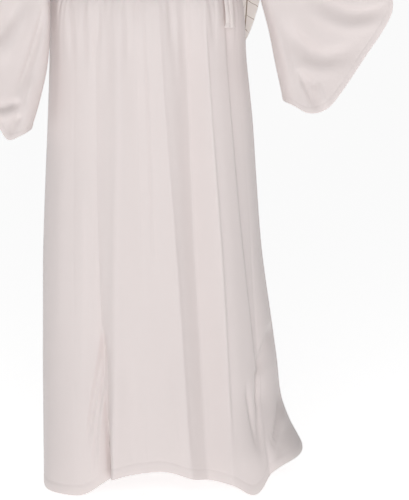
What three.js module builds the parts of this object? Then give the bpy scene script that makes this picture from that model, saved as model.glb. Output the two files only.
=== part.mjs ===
import * as THREE from "three";

// Angel costume: a floor-length robe with wide bell sleeves, tied at the waist with a sash,
// and a pair of feathered cloth wings sewn to a panel on its back.
// It keeps the hollow form of a worn robe: sleeves spread out and down, the skirt in hanging folds.
// Millimetres, +Z up, the front faces -Y. The origin lies between the shoulders, at the base
// of the neck, where the robe is held up. The floor is 1440 mm below it.

const { clamp, degToRad, lerp, radToDeg, smoothstep } = THREE.MathUtils;

const CLOTH = 2; // wall of the robe's cloth
const SEAM_GAP = 0.3; // between two pieces at a seam
const WAIST_Z = -330;
const ARMPIT_Z = -205;
const HIP_Z = -390; // where the rows of the fold table start
const KNEE_Z = -930;
const ANKLE_Z = -1400;
const SHOULDER_TIP_Z = -50;
const NECK_SIDE_Z = -5;
const NECK_SIDE = 0.49; // share of the half width where the neckline meets the shoulder seam
const SHOULDER_SLOPE = 0.45;
const FRONT_NECK_DROP = 90;
const BACK_NECK_DROP = 17;
const SHOULDER_ROUND = 150; // height over which the chest rounds back to the shoulder seam

const SASH = { low: -345, high: -315, gap: 1.4, edge: 2, bulge: 3 };
const KNOT = { across: 0.872, width: 17, depth: 13, height: 20 };
// How far the sash's ends hang from the skirt's form, and how narrow they are at the knot.
const TAIL = { gap: 2, atKnot: 12, pinch: 0.7 };
const ROOT_PANEL = { across: 0.24, low: -282, high: -130, gap: 1.3, thickness: 2 };
const WING = { thickness: 3, rootY: 117.8, rootX: 24, sweep: 0.2, camber: 16, bow: 28, notch: 62 };

// The worn robe's outline at each height: minX and maxX as seen from the front, front and back
// as depths from the side seams, square as the exponent that boxes the section out.
const sections = [
  { z: -1440, minX: -228, maxX: 345, front: 190, back: 205, square: 2.6 },
  { z: -1361, minX: -228, maxX: 336, front: 188, back: 202, square: 2.6 },
  { z: -1301, minX: -228, maxX: 307, front: 185, back: 199, square: 2.55 },
  { z: -1246, minX: -228, maxX: 288, front: 182, back: 196, square: 2.5 },
  { z: -1169, minX: -228, maxX: 279, front: 176, back: 190, square: 2.45 },
  { z: -1081, minX: -227, maxX: 267, front: 170, back: 184, square: 2.4 },
  { z: -928, minX: -225, maxX: 246, front: 160, back: 172, square: 2.35 },
  { z: -777, minX: -219, maxX: 234, front: 152, back: 162, square: 2.3 },
  { z: -648, minX: -213, maxX: 225, front: 146, back: 153, square: 2.3 },
  { z: -521, minX: -208, maxX: 213, front: 140, back: 146, square: 2.3 },
  { z: -394, minX: -204, maxX: 205, front: 130, back: 136, square: 2.3 },
  { z: -350, minX: -176, maxX: 176, front: 109, back: 101, square: 2.25 },
  { z: -310, minX: -176, maxX: 176, front: 109, back: 101, square: 2.25 },
  { z: -285, minX: -186, maxX: 186, front: 126, back: 110, square: 2.25 },
  { z: -245, minX: -189, maxX: 189, front: 137, back: 114, square: 2.25 },
  { z: -205, minX: -188, maxX: 188, front: 140, back: 114, square: 2.25 },
  { z: -130, minX: -172, maxX: 172, front: 122, back: 108, square: 2.25 },
  { z: -50, minX: -195, maxX: 195, front: 86, back: 86, square: 2.25 },
  { z: 20, minX: -198, maxX: 198, front: 66, back: 70, square: 2.25 },
];

// Half the depth of the armhole at each height.
const armholeDepths = [
  { z: -205, depth: 0 },
  { z: -185, depth: 34 },
  { z: -150, depth: 52 },
  { z: -110, depth: 56 },
  { z: -50, depth: 56 },
];

// The creases between the skirt's large folds. hipX, kneeX and hemX are where each one lies seen
// from the front; waist, hip, knee and hem are its depths. peak is where the fold after it, in
// the direction of turn, stands out most, flat below 1 makes that fold broader, and rest is the
// share of the depth that is left on its peak. crest instead gives the fold a sharper ridge, at
// these x at hip, knee and hem; soft is how gently the cloth leaves the crease on either side.
const backCreases = [
  { hipX: 160, kneeX: 196, hemX: 262, waist: 4, hip: 14, knee: 20, hem: 32, peak: 0.5, flat: 0.8 },
  { hipX: 104, kneeX: 128, hemX: 172, waist: 6, hip: 20, knee: 27, hem: 38, peak: 0.42, flat: 0.8 },
  { hipX: 46, kneeX: 58, hemX: 88, waist: 6, hip: 22, knee: 30, hem: 42, peak: 0.55, flat: 0.8 },
  { hipX: -14, kneeX: -12, hemX: 4, waist: 6, hip: 23, knee: 32, hem: 44, peak: 0.6, flat: 0.8 },
  { hipX: -68, kneeX: -76, hemX: -72, waist: 6, hip: 20, knee: 29, hem: 40, peak: 0.45, flat: 0.8 },
  { hipX: -116, kneeX: -130, hemX: -136, waist: 6, hip: 18, knee: 25, hem: 34, peak: 0.5, flat: 0.8 },
  { hipX: -170, kneeX: -188, hemX: -192, waist: 4, hip: 10, knee: 14, hem: 20, peak: 0.5, flat: 0.7 },
];
const frontCreases = [
  {
    hipX: -153, kneeX: -157, hemX: -157, waist: 4, hip: 6, knee: 7, hem: 9,
    peak: 0.45, flat: 0.7, rest: 0.7,
  },
  {
    hipX: -108, kneeX: -103, hemX: -83, waist: 4, hip: 12, knee: 15, hem: 40,
    crest: [-52, -61, -70], soft: [0.1, 0.5],
  },
  {
    hipX: -24, kneeX: -10, hemX: 6, waist: 5, hip: 7, knee: 6, hem: 6,
    crest: [26, 64, 96], soft: [0.3, 1],
  },
  {
    hipX: 86, kneeX: 109, hemX: 131, waist: 8, hip: 22, knee: 24, hem: 20,
    crest: [122.5, 160, 184], soft: [0.9, 0.1],
  },
  { hipX: 191, kneeX: 233, hemX: 272, waist: 3, hip: 6, knee: 9, hem: 22, peak: 0.5, flat: 0.7 },
];
const withFace = (rows, face) => rows.map((row) => ({ face, ...row }));
const creases = [...withFace(backCreases, "back"), ...withFace(frontCreases, "front")];
// The folds that run up to the sides of the neck.
const neckFolds = { back: [104, -116], front: [-108, 86] };
const CREST_ROUNDING = 1.2; // degrees of turn

// Height of the skirt's hem round the turn: 180 is the seam at -X, 270 the front, 360 the seam at +X.
const hemRows = [
  { turn: 0, z: -1356 },
  { turn: 22, z: -1392 },
  { turn: 60, z: -1418 },
  { turn: 95, z: -1424 },
  { turn: 140, z: -1432 },
  { turn: 180, z: -1436 },
  { turn: 212, z: -1436 },
  { turn: 227, z: -1430 },
  { turn: 241, z: -1396 },
  { turn: 260, z: -1377 },
  { turn: 268, z: -1376 },
  { turn: 279, z: -1390 },
  { turn: 296, z: -1405 },
  { turn: 305, z: -1428 },
  { turn: 311, z: -1425 },
  { turn: 321, z: -1388 },
  { turn: 334, z: -1370 },
  { turn: 360, z: -1356 },
];

// Each sleeve from the armhole, along 0, to the cuff, along 1: its top line and its underarm seam,
// x away from the body. upper is the radius of its rounded top, hang half the depth of the cloth
// that hangs below.
const sleeveRows = {
  1: [
    { along: 0, topX: 195, topY: 0, topZ: -50, lowX: 188, lowY: 0, lowZ: -205, upper: 52, hang: 50 },
    { along: 0.12, topX: 246, topY: -10, topZ: -76, lowX: 204, lowY: -8, lowZ: -268, upper: 54, hang: 44 },
    { along: 0.3, topX: 318, topY: -34, topZ: -134, lowX: 225, lowY: -18, lowZ: -340, upper: 52, hang: 36 },
    { along: 0.48, topX: 376, topY: -62, topZ: -198, lowX: 242, lowY: -28, lowZ: -403, upper: 48, hang: 32 },
    { along: 0.66, topX: 428, topY: -92, topZ: -262, lowX: 257, lowY: -36, lowZ: -460, upper: 44, hang: 31 },
    { along: 0.84, topX: 472, topY: -122, topZ: -320, lowX: 271, lowY: -44, lowZ: -530, upper: 41, hang: 34 },
    { along: 1, topX: 506, topY: -146, topZ: -366, lowX: 287, lowY: -52, lowZ: -603, upper: 39, hang: 42 },
  ],
  [-1]: [
    { along: 0, topX: 195, topY: 0, topZ: -50, lowX: 188, lowY: 0, lowZ: -205, upper: 52, hang: 44 },
    { along: 0.12, topX: 236, topY: -10, topZ: -84, lowX: 204, lowY: -20, lowZ: -258, upper: 54, hang: 34 },
    { along: 0.3, topX: 290, topY: -34, topZ: -156, lowX: 203, lowY: -50, lowZ: -350, upper: 52, hang: 30 },
    { along: 0.48, topX: 332, topY: -62, topZ: -228, lowX: 204, lowY: -64, lowZ: -430, upper: 48, hang: 28 },
    { along: 0.66, topX: 368, topY: -90, topZ: -302, lowX: 211, lowY: -72, lowZ: -520, upper: 44, hang: 28 },
    { along: 0.84, topX: 396, topY: -116, topZ: -372, lowX: 225, lowY: -78, lowZ: -596, upper: 41, hang: 32 },
    { along: 1, topX: 416, topY: -138, topZ: -430, lowX: 241, lowY: -84, lowZ: -661, upper: 39, hang: 40 },
  ],
};

// The cuff's edge seen from the front, from its top to the underarm seam.
const cuffRows = {
  1: [
    { share: 0, x: 506, z: -366 },
    { share: 0.14, x: 503, z: -420 },
    { share: 0.4, x: 449, z: -512 },
    { share: 0.66, x: 389, z: -603 },
    { share: 0.75, x: 364, z: -622 },
    { share: 0.84, x: 336, z: -625 },
    { share: 0.92, x: 308, z: -611 },
    { share: 1, x: 287, z: -603 },
  ],
  [-1]: [
    { share: 0, x: 416, z: -430 },
    { share: 0.14, x: 409, z: -482 },
    { share: 0.4, x: 362, z: -562 },
    { share: 0.7, x: 309, z: -645 },
    { share: 0.83, x: 287, z: -679 },
    { share: 0.92, x: 260, z: -671 },
    { share: 1, x: 241, z: -661 },
  ],
};

// The largest swags of each sleeve, seen from the front: the middle of each soft trough runs from
// start through low to end. Troughs on the back layer are the same ones, moved by backShift.
const swagRows = {
  1: [
    { start: [322, -384], low: [424, -436], end: [506, -402], width: 20, depth: 11, backShift: -14 },
    { start: [296, -440], low: [388, -528], end: [484, -440], width: 24, depth: 12, backShift: 16 },
    { start: [318, -536], low: [334, -580], end: [354, -632], width: 13, depth: 8, backShift: 20 },
    { start: [262, -240], low: [330, -330], end: [440, -340], width: 26, depth: 9, backShift: -10 },
  ],
  [-1]: [
    { start: [208, -372], low: [238, -500], end: [288, -596], width: 15, depth: 9, backShift: 12 },
    { start: [250, -400], low: [300, -470], end: [392, -488], width: 26, depth: 12, backShift: -12 },
    { start: [258, -602], low: [290, -611], end: [340, -600], width: 14, depth: 8, backShift: 14 },
    { start: [232, -250], low: [284, -330], end: [364, -380], width: 26, depth: 9, backShift: 10 },
  ],
};

// One row for each wing feather, from the spine outwards: where its quill starts and where it ends.
const featherRows = [
  { rootX: 26, rootZ: -188, tipX: 60, tipZ: -318 },
  { rootX: 40, rootZ: -122, tipX: 98, tipZ: -374 },
  { rootX: 72, rootZ: -56, tipX: 134, tipZ: -427 },
  { rootX: 115, rootZ: 0, tipX: 170, tipZ: -470 },
  { rootX: 165, rootZ: 42, tipX: 207, tipZ: -493 },
  { rootX: 218, rootZ: 66, tipX: 276, tipZ: -402 },
  { rootX: 268, rootZ: 66, tipX: 320, tipZ: -330 },
  { rootX: 312, rootZ: 42, tipX: 354, tipZ: -248 },
  { rootX: 346, rootZ: -2, tipX: 376, tipZ: -160 },
];

// A column of a table at any value of its first key, on a smooth curve through the rows.
function column(rows, key, name, value) {
  const last = rows.length - 1;
  if (value <= rows[0][key]) return rows[0][name];
  if (value >= rows[last][key]) return rows[last][name];
  const next = rows.findIndex((row) => row[key] > value);
  const slopeAt = (index) => {
    const before = rows[Math.max(index - 1, 0)];
    const after = rows[Math.min(index + 1, last)];
    return (after[name] - before[name]) / (after[key] - before[key]);
  };
  const from = rows[next - 1];
  const to = rows[next];
  const span = to[key] - from[key];
  const t = (value - from[key]) / span;
  const straight = lerp(from[name], to[name], t);
  const chord = (to[name] - from[name]) / span;
  const bend = (slopeAt(next - 1) - chord) * (1 - t) + (chord - slopeAt(next)) * t;
  return straight + bend * t * (1 - t) * span;
}

function sectionAt(z) {
  const value = (name) => column(sections, "z", name, z);
  const halfWidth = (value("maxX") - value("minX")) / 2;
  return {
    middle: value("minX") + halfWidth,
    halfWidth,
    front: value("front"),
    back: value("back"),
    square: value("square"),
  };
}

// The robe's rows are numbered by level: 0 hem, 1 waist, 2 armpit, 3 neckline and shoulder seam.
// Round the body, turn is in degrees and across, its cosine, is the share of the half width.
const acrossAt = (turn) => Math.cos(degToRad(turn));
const isFront = (turn) => turn > 180;

function ridgeZ(across) {
  const outwards = (Math.abs(across) - NECK_SIDE) / (1 - NECK_SIDE);
  return lerp(NECK_SIDE_Z, SHOULDER_TIP_Z, outwards);
}

function topZ(turn) {
  const across = acrossAt(turn);
  const share = Math.abs(across) / NECK_SIDE;
  if (share >= 1) return ridgeZ(across);
  const drop = isFront(turn)
    ? FRONT_NECK_DROP * (1 - share ** 2) ** 0.75
    : BACK_NECK_DROP * (1 - share ** 2);
  return NECK_SIDE_Z - drop;
}

function heightAt(turn, level) {
  if (level <= 1) return lerp(column(hemRows, "turn", "z", turn), WAIST_Z, level);
  if (level <= 2) return lerp(WAIST_Z, ARMPIT_Z, level - 1);
  return lerp(ARMPIT_Z, topZ(turn), level - 2);
}

// The smooth form that the folds are pressed into: a point on it and its outward normal.
function formAt(turn, z) {
  const section = sectionAt(z);
  const across = acrossAt(turn);
  const sign = isFront(turn) ? -1 : 1;
  const depth = isFront(turn) ? section.front : section.back;
  const edge = column(armholeDepths, "z", "depth", z);
  const rounded = (1 - Math.abs(across) ** section.square) ** (1 / section.square);
  const open = 1 - Math.abs(across) ** 2.4;
  const wrap = lerp(rounded, open, smoothstep(z, ARMPIT_Z, ARMPIT_Z + 60));
  const rise = clamp((ridgeZ(across) - z) / SHOULDER_ROUND, 0, 1);
  const shoulder = Math.sqrt(1 - (1 - rise) ** 2);
  const point = new THREE.Vector3(
    section.middle + section.halfWidth * across,
    sign * (edge + (depth - edge) * wrap) * shoulder,
    z,
  );
  const normal = new THREE.Vector3(
    (Math.sign(across) * Math.abs(across) ** (section.square - 1)) / section.halfWidth,
    (sign * rounded ** (section.square - 1)) / depth,
    0,
  ).normalize();
  return { point, normal };
}

// The turn of a line that lies at these x at hip, knee and hem.
function lineTurn([hipX, kneeX, hemX], face, level, toNeck = 0) {
  const z = Math.min(lerp(ANKLE_Z, WAIST_Z, level), HIP_Z);
  const rows = [
    { z: ANKLE_Z, x: hemX },
    { z: KNEE_Z, x: kneeX },
    { z: HIP_Z, x: hipX },
  ];
  const section = sectionAt(z);
  const across = clamp((column(rows, "z", "x", z) - section.middle) / section.halfWidth, -0.99, 0.99);
  const neckAngle = radToDeg(Math.acos(Math.sign(across) * NECK_SIDE));
  const angle = lerp(radToDeg(Math.acos(across)), neckAngle, toNeck);
  return face === "front" ? 360 - angle : angle;
}

function creaseTurn(crease, level) {
  const toNeck = neckFolds[crease.face].includes(crease.hipX) ? clamp(level - 2, 0, 1) : 0;
  return lineTurn([crease.hipX, crease.kneeX, crease.hemX], crease.face, level, toNeck);
}

function creaseDepth(crease, level) {
  if (level > 1) return crease.waist * (1 - smoothstep(level, 1, 1.9));
  const rows = [
    { z: ANKLE_Z, depth: crease.hem },
    { z: KNEE_Z, depth: crease.knee },
    { z: -500, depth: crease.hip },
    { z: WAIST_Z, depth: crease.waist },
  ];
  return column(rows, "z", "depth", lerp(ANKLE_Z, WAIST_Z, level));
}

// The height of the fold after a crease, 1 on its peak and 0 in the creases on either side of it.
function foldHeight(crease, share, span, level) {
  if (!crease.crest) {
    const stretched = share ** (Math.log(0.5) / Math.log(crease.peak));
    return Math.max(Math.sin(Math.PI * stretched), 0) ** crease.flat;
  }
  const start = creaseTurn(crease, level);
  const rise = clamp(lineTurn(crease.crest, crease.face, level) - start, 0.05 * span, 0.95 * span);
  const away = share * span - rise;
  const down = Math.hypot(away, CREST_ROUNDING) - CREST_ROUNDING;
  const height = clamp(1 - down / (away < 0 ? rise : span - rise), 0, 1);
  return lerp(height, 1 - Math.cos((height * Math.PI) / 2), crease.soft[away < 0 ? 0 : 1]);
}

// How far the cloth lies inside its form: nothing on a fold's peak, the full depth in a crease.
function foldInset(turn, level) {
  const turns = creases.map((crease) => creaseTurn(crease, level));
  const count = creases.length;
  let before = count - 1;
  turns.forEach((value, index) => {
    if (value <= turn) before = index;
  });
  if (turn < turns[0]) before = count - 1;
  const after = (before + 1) % count;
  const span = (turns[after] - turns[before] + 360) % 360;
  const share = ((turn - turns[before] + 360) % 360) / span;
  const { rest = 0 } = creases[before];
  const height = foldHeight(creases[before], share, span, level) * (1 - rest);
  const depth = lerp(creaseDepth(creases[before], level), creaseDepth(creases[after], level), share);
  return depth * (1 - height);
}

function bodyPoint(turn, level) {
  const { point, normal } = formAt(turn, heightAt(turn, level));
  return point.addScaledVector(normal, -foldInset(turn, level));
}

// Turns a grid of outer points and their outward normals into one closed wall.
function clothWall(name, colour, outer, inner, closed) {
  const rowCount = outer.length;
  const columnCount = outer[0].length;
  const positions = [...outer.flat(), ...inner.flat()].flatMap((p) => [p.x, p.y, p.z]);
  const outerAt = (row, col) => row * columnCount + (col % columnCount);
  const innerAt = (row, col) => rowCount * columnCount + outerAt(row, col);
  const triangles = [];
  const quad = (a, b, c, d) => triangles.push(a, b, c, a, c, d);
  const lastColumn = closed ? columnCount : columnCount - 1;
  for (let row = 0; row < rowCount - 1; row++) {
    for (let col = 0; col < lastColumn; col++) {
      quad(outerAt(row, col), outerAt(row, col + 1), outerAt(row + 1, col + 1), outerAt(row + 1, col));
      quad(innerAt(row, col), innerAt(row + 1, col), innerAt(row + 1, col + 1), innerAt(row, col + 1));
    }
    if (!closed) {
      quad(outerAt(row, 0), outerAt(row + 1, 0), innerAt(row + 1, 0), innerAt(row, 0));
      const end = lastColumn;
      quad(outerAt(row, end), innerAt(row, end), innerAt(row + 1, end), outerAt(row + 1, end));
    }
  }
  for (let col = 0; col < lastColumn; col++) {
    quad(outerAt(0, col), innerAt(0, col), innerAt(0, col + 1), outerAt(0, col + 1));
    const top = rowCount - 1;
    quad(outerAt(top, col), outerAt(top, col + 1), innerAt(top, col + 1), innerAt(top, col));
  }
  const geometry = new THREE.BufferGeometry();
  geometry.setAttribute("position", new THREE.Float32BufferAttribute(positions, 3));
  geometry.setIndex(triangles);
  const mesh = new THREE.Mesh(geometry, materials[colour]);
  mesh.name = name;
  return mesh;
}

// The outward normal of a surface at (column, row), from steps that stay inside its limits.
function surfaceNormal(surface, col, row, step, limits) {
  const left = surface(Math.max(col - step.col, limits.minCol), row);
  const right = surface(Math.min(col + step.col, limits.maxCol), row);
  const below = surface(col, Math.max(row - step.row, limits.minRow));
  const above = surface(col, Math.min(row + step.row, limits.maxRow));
  return right.sub(left).cross(above.sub(below)).normalize();
}

const moved = (point, normal, distance) => point.clone().addScaledVector(normal, distance);

// The levels that have a row of points, and the shares of each fold that have a column. Skirt and
// bodice meet at the waist, where the sash covers their seam.
const armholeLevels = [2.2, 2.4, 2.58, 2.74, 2.86, 2.95, 3];
const robeLevels = {
  skirt: [0, 0.035, 0.1, 0.19, 0.3, 0.42, 0.55, 0.68, 0.8, 0.89, 0.945, 0.965, 0.983, 1],
  bodice: [1, 1.14, 1.4, 1.7, 2, ...armholeLevels],
};
const foldShares = { front: [0, 0.25, 0.5, 0.76], back: [0, 0.28, 0.54, 0.8] };

// The turns of a panel's columns, from seam to seam, with one on every crease and every crest.
function panelTurns(face, level) {
  const startTurn = face === "front" ? 180 : 0;
  const linesOf = (crease) => {
    const crest = crease.crest ? [lineTurn(crease.crest, face, level)] : [];
    return [creaseTurn(crease, level), ...crest];
  };
  const own = creases.filter((crease) => crease.face === face).flatMap(linesOf);
  const stops = [startTurn, ...own, startTurn + 180];
  const turnsIn = (from, to) => foldShares[face].map((share) => lerp(from, to, share));
  const turns = stops.slice(0, -1).flatMap((stop, i) => turnsIn(stop, stops[i + 1]));
  return [...turns, startTurn + 180];
}

function robePoint(face, turn, level) {
  const point = bodyPoint(face === "front" ? Math.max(turn, 180.0001) : turn, level);
  point.y += face === "front" ? -SEAM_GAP / 2 : SEAM_GAP / 2;
  return point;
}

// The outward normal of the robe. Along its seams the wall's edge stands square to the seam.
function robeNormal(face, turn, level) {
  const startTurn = face === "front" ? 180 : 0;
  const limits = { minCol: startTurn, maxCol: startTurn + 180, minRow: 0, maxRow: 3 };
  const surface = (col, row) => robePoint(face, col, row);
  const normal = surfaceNormal(surface, turn, level, { col: 0.6, row: 0.004 }, limits);
  const across = acrossAt(turn);
  const atSide = turn === startTurn || turn === startTurn + 180;
  const onShoulder = level === 3 && Math.abs(across) > NECK_SIDE - 0.001;
  if (onShoulder) normal.set(Math.sign(across) * SHOULDER_SLOPE, 0, 1);
  if (atSide && level > 2) normal.x = 0;
  if (atSide && level <= 2) normal.y = 0;
  if (level === 1) normal.z = 0;
  return normal.normalize();
}

function robePanel(part, face) {
  const levels = robeLevels[part];
  const turns = levels.map((level) => panelTurns(face, level));
  const waistShift = part === "skirt" ? -SEAM_GAP / 2 : SEAM_GAP / 2;
  const place = (turn, level) => {
    const point = robePoint(face, turn, level);
    if (level === 1) point.z += waistShift;
    return point;
  };
  const outer = levels.map((level, row) => turns[row].map((turn) => place(turn, level)));
  const inner = levels.map((level, row) =>
    turns[row].map((turn, col) => moved(outer[row][col], robeNormal(face, turn, level), -CLOTH)),
  );
  return clothWall(`${part}_${face}`, "robe", outer, inner, false);
}

const EDGE_STEPS = 3; // columns of the sleeve between two corners of the armhole

// The armhole's edge on the body, from the shoulder down the front to the armpit and up the back.
function armholeEdge(side) {
  const frontTurn = side > 0 ? 360 : 180.0001;
  const backTurn = side > 0 ? 0 : 180;
  const levels = [2, ...armholeLevels];
  const down = [...levels].reverse().map((level) => bodyPoint(frontTurn, level));
  const up = levels.slice(1).map((level) => bodyPoint(backTurn, level));
  const corners = [...down, ...up];
  const steps = Array.from({ length: EDGE_STEPS }, (_, i) => i / EDGE_STEPS);
  const between = (from, to) => steps.map((t) => from.clone().lerp(to, t));
  return corners.slice(0, -1).flatMap((corner, i) => between(corner, corners[i + 1]));
}

// How far down the sleeve each column lies, 0 on its top line and 1 on the underarm seam.
// They lie closer together where the sleeve turns over, at both ends.
const ringColumns = armholeLevels.length * EDGE_STEPS;
const ringShares = Array.from({ length: ringColumns + 1 }, (_, i) => {
  const even = i / ringColumns;
  return lerp(even, (1 - Math.cos(Math.PI * even)) / 2, 0.6);
});
const sleeveStations = [
  0, 0.05, 0.11, 0.18, 0.26, 0.34, 0.42, 0.5, 0.58, 0.66, 0.74, 0.82, 0.89, 0.95, 1,
];

// The soft trough that a swag presses into the sleeve at a place seen from the front.
function swagInset(swag, x, z) {
  const start = new THREE.Vector2(...swag.start);
  const end = new THREE.Vector2(...swag.end);
  const middle = start.clone().add(end).multiplyScalar(0.5);
  const bend = new THREE.Vector2(...swag.low).multiplyScalar(2).sub(middle);
  const curve = new THREE.QuadraticBezierCurve(start, bend, end);
  const place = new THREE.Vector2(x, z);
  let inset = 0;
  for (let i = 0; i <= 24; i++) {
    const distance = curve.getPoint(i / 24).distanceTo(place) / swag.width;
    const fade = Math.sin(Math.PI * clamp(i / 24, 0.12, 0.88));
    inset = Math.max(inset, swag.depth * fade * Math.exp(-(distance ** 2)));
  }
  return inset;
}

function sleevePoint(side, share, along, layer) {
  const value = (name) => column(sleeveRows[side], "along", name, along);
  const cuff = (name) => column(cuffRows[side], "share", name, share);
  const end = cuffRows[side].at(-1);
  const start = cuffRows[side][0];
  const bulge = along ** 1.7;
  const x = lerp(value("topX"), value("lowX"), share) + bulge * (cuff("x") - lerp(start.x, end.x, share));
  const z = lerp(value("topZ"), value("lowZ"), share) + bulge * (cuff("z") - lerp(start.z, end.z, share));
  const length = Math.hypot(value("topX") - value("lowX"), value("topZ") - value("lowZ"));
  const overTop = clamp((share * length) / value("upper"), 0, 1);
  const atSeam = clamp((1 - share) / 0.12, 0, 1);
  const roundTop = Math.sqrt(1 - (1 - overTop) ** 2);
  const roundSeam = Math.sqrt(1 - (1 - atSeam) ** 2);
  const body = lerp(value("upper"), value("hang"), smoothstep(share, 0.15, 0.7));
  const swags = swagRows[side].reduce((sum, swag) => {
    const shift = layer > 0 ? swag.backShift : 0;
    return sum + swagInset(swag, x - shift, z + shift);
  }, 0);
  const inset = swags * smoothstep(share, 0.04, 0.2) * (1 - smoothstep(share, 0.94, 1));
  const depth = body * roundTop * roundSeam - inset;
  const axisY = lerp(value("topY"), value("lowY"), share);
  return new THREE.Vector3(side * x, axisY + layer * depth, z);
}

// One half of a sleeve. The halves are sewn together along the top line and the underarm seam.
function sleevePanel(side, face) {
  const armhole = armholeEdge(side);
  const count = 2 * ringColumns;
  const layerOf = (col) => (col <= ringColumns ? -1 : 1);
  const shareOf = (col) => ringShares[col <= ringColumns ? col : count - col];
  const formula = (col, along) => sleevePoint(side, shareOf(col), along, layerOf(col));
  const point = (col, along) => {
    const place = (col + count) % count;
    const fade = 1 - smoothstep(along, 0, 0.28);
    const offset = armhole[place].clone().sub(formula(place, 0)).multiplyScalar(fade);
    return formula(place, along).add(offset).add(new THREE.Vector3(side * SEAM_GAP, 0, 0));
  };
  const normalAt = (col, along) => {
    const around = point(col + 1, along).sub(point(col - 1, along));
    const outwards = point(col, Math.min(along + 0.01, 1)).sub(point(col, Math.max(along - 0.01, 0)));
    const normal = around.cross(outwards).multiplyScalar(side);
    if (along === 0) normal.x = 0; // the wall stands square to the armhole seam
    if (col % ringColumns === 0) normal.y = 0; // and to the seams between the halves
    return normal.normalize();
  };
  const start = face === "front" ? 0 : ringColumns;
  const order = Array.from({ length: ringColumns + 1 }, (_, i) => start + i);
  if (side < 0) order.reverse();
  const seamShift = new THREE.Vector3(0, (face === "front" ? -SEAM_GAP : SEAM_GAP) / 2, 0);
  const panelPoint = (col, along) => point(col, along).add(seamShift);
  const innerPoint = (col, along) => moved(panelPoint(col, along), normalAt(col, along), -CLOTH);
  const outer = sleeveStations.map((along) => order.map((col) => panelPoint(col, along)));
  const inner = sleeveStations.map((along) => order.map((col) => innerPoint(col, along)));
  return clothWall(`sleeve_${side > 0 ? "left" : "right"}_${face}`, "robe", outer, inner, false);
}

// A piece that lies on the robe: its inner side follows the form, moved out by gap.
function overlay(name, colour, turnsAt, heights, gapAt, thicknessAt, closed) {
  const layer = (withThickness) =>
    heights.map((z, row) =>
      turnsAt(z).map((turn, col) => {
        const { point, normal } = formAt((turn + 360) % 360, z);
        const thickness = withThickness ? thicknessAt(row / (heights.length - 1), col) : 0;
        return moved(point, normal, gapAt(z) + thickness);
      }),
    );
  return clothWall(name, colour, layer(true), layer(false), closed);
}

function waistSash() {
  const turns = Array.from({ length: 56 }, (_, i) => (i * 360) / 56 + 0.5);
  const heights = [0, 0.3, 0.7, 1].map((share) => lerp(SASH.low, SASH.high, share));
  const thickness = (share) => SASH.edge + SASH.bulge * Math.sin(Math.PI * share);
  return overlay("waist_sash", "sash", () => turns, heights, () => SASH.gap, thickness, true);
}

const turnOfAcross = (across) => 360 - radToDeg(Math.acos(across));

function sashKnot() {
  const { point, normal } = formAt(turnOfAcross(KNOT.across), (SASH.low + SASH.high) / 2);
  const seat = SASH.gap + SASH.edge + SASH.bulge + SEAM_GAP;
  const geometry = new THREE.SphereGeometry(1, 16, 10);
  const places = geometry.getAttribute("position");
  for (let i = 0; i < places.count; i++) {
    const boxed = ["getX", "getY", "getZ"].map((axis) => {
      const value = places[axis](i);
      return Math.sign(value) * Math.abs(value) ** 0.8;
    });
    places.setXYZ(i, boxed[0] * KNOT.width, boxed[2] * KNOT.depth, boxed[1] * KNOT.height);
  }
  geometry.index.array.reverse(); // exchanging two axes has turned the faces round
  const knot = new THREE.Mesh(geometry, materials.sash);
  knot.name = "sash_knot";
  knot.position.copy(moved(point, normal, seat + KNOT.depth));
  knot.rotation.z = Math.atan2(normal.y, normal.x) + Math.PI / 2;
  return knot;
}

// A free end of the sash: a strip folded along its middle. It hangs from the knot and lies on the skirt.
function sashTail(name, end) {
  const startZ = (SASH.low + SASH.high) / 2 - KNOT.height;
  const heights = [0, 0.08, 0.3, 0.55, 0.78, 0.9, 1].map((share) => lerp(end.z, startZ, share));
  const widthAt = (z) => {
    const flare = end.flare * (1 - smoothstep(z, end.z, end.z + 12));
    return end.width * lerp(1, TAIL.pinch, smoothstep(z, startZ - 30, startZ)) + flare;
  };
  const offsets = [-1, -0.75, -0.4, 0, 0.4, 0.75, 1];
  const thickness = [1.5, 3.6, 4, 2, 4, 3.6, 1.5];
  const turnsAt = (z) => {
    const middle = turnOfAcross(lerp(end.across, end.acrossTop, (z - end.z) / (startZ - end.z)));
    const degrees = radToDeg(widthAt(z) / 2 / 140);
    return offsets.map((offset) => middle + offset * degrees);
  };
  const gapAt = (z) => lerp(TAIL.gap, TAIL.atKnot, smoothstep(z, startZ - 26, startZ) * 0.999);
  return overlay(name, "sash", turnsAt, heights, gapAt, (share, col) => thickness[col], false);
}

function wingRootPanel() {
  const { low, high, gap, thickness } = ROOT_PANEL;
  const half = radToDeg(Math.acos(ROOT_PANEL.across));
  const turns = Array.from({ length: 7 }, (_, i) => lerp(half, 180 - half, i / 6));
  const heights = Array.from({ length: 7 }, (_, i) => lerp(low, high, i / 6));
  return overlay("wing_root", "wing", () => turns, heights, () => gap, () => thickness, false);
}

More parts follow.
